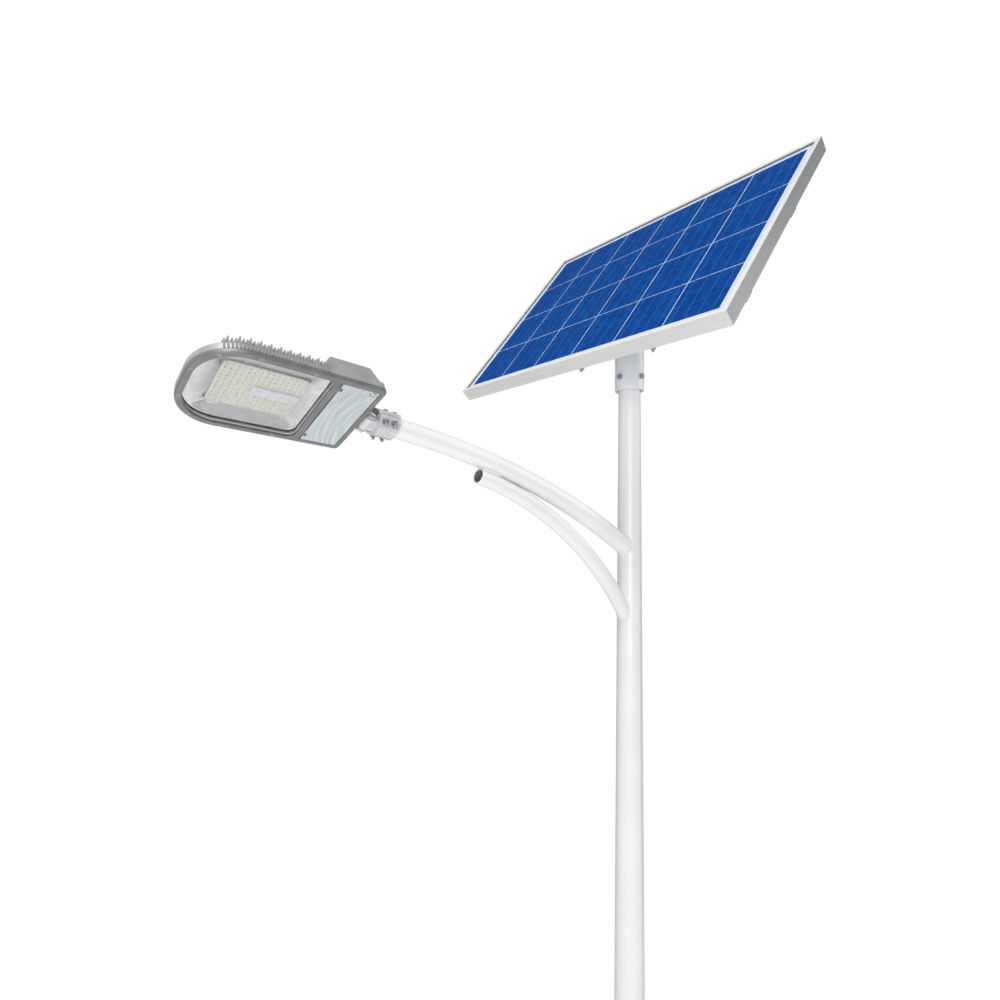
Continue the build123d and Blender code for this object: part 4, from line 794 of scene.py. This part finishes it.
def sheet_piece(name, shape, thickness, finish):
    """Gives a surface its sheet thickness and outward normals, and makes a piece of it."""
    bmesh.ops.solidify(shape, geom=shape.faces[:], thickness=thickness)
    bmesh.ops.recalc_face_normals(shape, faces=shape.faces[:])
    for face in shape.faces:
        face.smooth = True
    mesh = bpy.data.meshes.new(name)
    shape.to_mesh(mesh)
    shape.free()
    mesh.materials.append(finish)
    piece = bpy.data.objects.new(name, mesh)
    bpy.context.scene.collection.objects.link(piece)
    return piece


def reflector_dish():
    outer_low, outer_high = local_box("reflector", HEAD)
    board_low, board_high = local_box("led_board", HEAD)
    lap = BOARD_LAP * MM
    centre_x = (board_low.x + board_high.x) / 2
    top = outer_high.z - DISH_HEADROOM * MM
    depth = top - outer_low.z
    shape = bmesh.new()
    loops = []
    for step in range(DISH_STEPS + 1):
        t = step / DISH_STEPS
        height = outer_low.z + depth * t ** DISH_CURVE
        loop = []
        for span in range(DISH_SPANS):
            angle = 2 * pi * span / DISH_SPANS
            ox, oy = round_box(outer_low.x, outer_high.x, outer_high.y,
                               REAR_CORNER * MM, FRONT_CORNER * MM, angle, centre_x)
            ix, iy = round_box(board_low.x + lap, board_high.x - lap, board_high.y - lap,
                               BOARD_CORNER * MM, BOARD_CORNER * MM, angle, centre_x)
            blend = t ** DISH_INWARD
            point = Vector((ox + (ix - ox) * blend, oy + (iy - oy) * blend, height))
            loop.append(shape.verts.new(HEAD @ point))
        loops.append(loop)
    for lower, upper in zip(loops, loops[1:]):
        for span in range(DISH_SPANS):
            after = (span + 1) % DISH_SPANS
            shape.faces.new((lower[span], upper[span], upper[after], lower[after]))
    return sheet_piece("reflector_dish", shape, DISH_SHEET * MM, reflector_finish)


dish = reflector_dish()
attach(dish, "lamp_head")
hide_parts("reflector")
print("reflector dish has", len(dish.data.polygons), "faces")

# %% [markdown]
# ## Bare bore of the strut
# Powder is sprayed from outside and doesn't reach into a tube, so the strut's open end shows dull bare
# zinc. A thin lining in the first few centimetres of the bore gives it that finish. It narrows a little
# as it goes in, because the strut bends and the lining is straight.

# %% Bore lining
LINING_DEPTH = 60.0
LINING_SHEET = 0.15
LINING_DRAFT = 2.4
LINING_INSET = 0.2
LINING_STEPS = 4
LINING_SPANS = 48


def bare_zinc_bore():
    material, tree, shader, where = start("bare_zinc_inside_tube")
    dull = add(tree, "ShaderNodeTexNoise", {"Vector": where, "Scale": per_mm(5.0), "Detail": 3.0})
    colour = blend_colours(tree, dull.outputs["Fac"], [(0.3, "9C9EA0"), (0.7, "B0B2B4")])
    tree.links.new(colour, shader.inputs["Base Color"])
    shader.inputs["Roughness"].default_value = 0.7
    return material


def free_end(node):
    """Centre, outward direction and bore radius at the end of a tube that is farthest from the pole."""
    mesh = nodes[node].data
    last = max(mesh.polygons, key=lambda face: face.center.xy.length)
    ring = [v.co.copy() for v in mesh.vertices if abs((v.co - last.center).dot(last.normal)) < 0.01 * MM]
    centre = sum(ring, Vector()) / len(ring)
    return centre, last.normal.copy(), min((point - centre).length for point in ring)


def bore_lining():
    centre, outward, bore = free_end("strut_tube")
    side = outward.cross(Vector((1, 0, 0))).normalized()
    rise = outward.cross(side)
    shape = bmesh.new()
    loops = []
    turn = [2 * pi * span / LINING_SPANS for span in range(LINING_SPANS)]
    for step in range(LINING_STEPS + 1):
        depth = LINING_DEPTH * MM * step / LINING_STEPS
        radius = bore - (LINING_SHEET + LINING_DRAFT * step / LINING_STEPS) * MM
        middle = centre - outward * (depth + LINING_INSET * MM)
        loops.append([shape.verts.new(middle + (side * cos(a) + rise * sin(a)) * radius) for a in turn])
    for near, far in zip(loops, loops[1:]):
        for span in range(LINING_SPANS):
            after = (span + 1) % LINING_SPANS
            shape.faces.new((near[span], near[after], far[after], far[span]))
    print("strut's open end has a bore radius of", round(bore / MM, 2), "mm")
    return sheet_piece("strut_bore_lining", shape, LINING_SHEET * MM, bare_zinc_bore())


lining = bore_lining()
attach(lining, "pole")

# %% [markdown]
# ## Studio
# The lamp stands on a round pale floor. Its surrounding is brightest below, as over a white studio floor,
# dimmer round the horizon and dimmest overhead, and the camera itself sees it as plain white. A broad soft
# sun comes from above, one large lamp stands in front, and two weaker ones lift the shaded sides.

# %% Floor, surrounding and lights
FLOOR_RADIUS = 1.05
HORIZON_LIGHT = 0.32
CEILING_LIGHT = 0.14
FLOOR_LIGHT = 1.3
CEILING_RAMP = (0.05, 0.7)
FLOOR_RAMP = (-0.85, -0.4)
SUN_POWER = 2.4
SUN_SPREAD = 25
HEAD_HEIGHT = 2.75
PANEL_HEIGHT = 2.95

floor_mesh = bpy.data.meshes.new("floor")
floor_shape = bmesh.new()
bmesh.ops.create_circle(floor_shape, cap_ends=True, radius=FLOOR_RADIUS, segments=96)
floor_shape.to_mesh(floor_mesh)
floor_shape.free()
floor = bpy.data.objects.new("floor", floor_mesh)
bpy.context.scene.collection.objects.link(floor)
floor_finish, floor_tree, floor_shader, floor_where = start("pale_painted_floor")
mottling = add(floor_tree, "ShaderNodeTexNoise", {"Vector": floor_where, "Scale": 1.5, "Detail": 2.0})
floor_colour = blend_colours(floor_tree, mottling.outputs["Fac"], [(0.3, "EEEEEE"), (0.7, "F3F3F3")])
floor_tree.links.new(floor_colour, floor_shader.inputs["Base Color"])
floor_shader.inputs["Roughness"].default_value = 0.9
floor_mesh.materials.append(floor_finish)

world = bpy.data.worlds.new("surrounding")
world.use_nodes = True
bpy.context.scene.world = world
sky = world.node_tree
way_up = add(sky, "ShaderNodeSeparateXYZ", {"Vector": add(sky, "ShaderNodeTexCoord").outputs["Generated"]})
above = level(sky, way_up.outputs["Z"], HORIZON_LIGHT, CEILING_LIGHT, *CEILING_RAMP)
below = level(sky, way_up.outputs["Z"], FLOOR_LIGHT - HORIZON_LIGHT, 0.0, *FLOOR_RAMP)
room = add(sky, "ShaderNodeMath", {0: above, 1: below}, operation="ADD").outputs[0]
seen = add(sky, "ShaderNodeLightPath").outputs["Is Camera Ray"]
strength = add(sky, "ShaderNodeMix", {"Factor": seen, 2: room, 3: 1.0})
sky.nodes["Background"].inputs["Color"].default_value = (1, 1, 1, 1)
sky.links.new(strength.outputs[0], sky.nodes["Background"].inputs["Strength"])


def add_lamp(name, kind, place, target, power, size=(1.0, 1.0)):
    """A lamp that points at a target. Area lamps are given a width and a height in metres."""
    data = bpy.data.lights.new(name, kind)
    data.energy = power
    if kind == "AREA":
        data.shape = "RECTANGLE"
        data.size, data.size_y = size
    else:
        data.angle = radians(SUN_SPREAD)
    lamp = bpy.data.objects.new(name, data)
    lamp.location = place
    lamp.rotation_euler = (Vector(target) - Vector(place)).to_track_quat("-Z", "Y").to_euler()
    bpy.context.scene.collection.objects.link(lamp)


add_lamp("soft_sun", "SUN", (1.2, -2.0, 9.0), (0, 0, HEAD_HEIGHT), SUN_POWER)
add_lamp("front_softbox", "AREA", (3.1, -3.2, 2.7), (0, 0, HEAD_HEIGHT), 88, (1.8, 2.6))
add_lamp("left_card", "AREA", (-1.8, -2.3, 3.6), (0, 0, PANEL_HEIGHT), 6, (2.2, 1.3))
add_lamp("right_card", "AREA", (1.7, 2.35, 3.6), (0, 0, PANEL_HEIGHT), 16, (2.6, 1.3))
bpy.context.scene.view_settings.view_transform = "Standard"
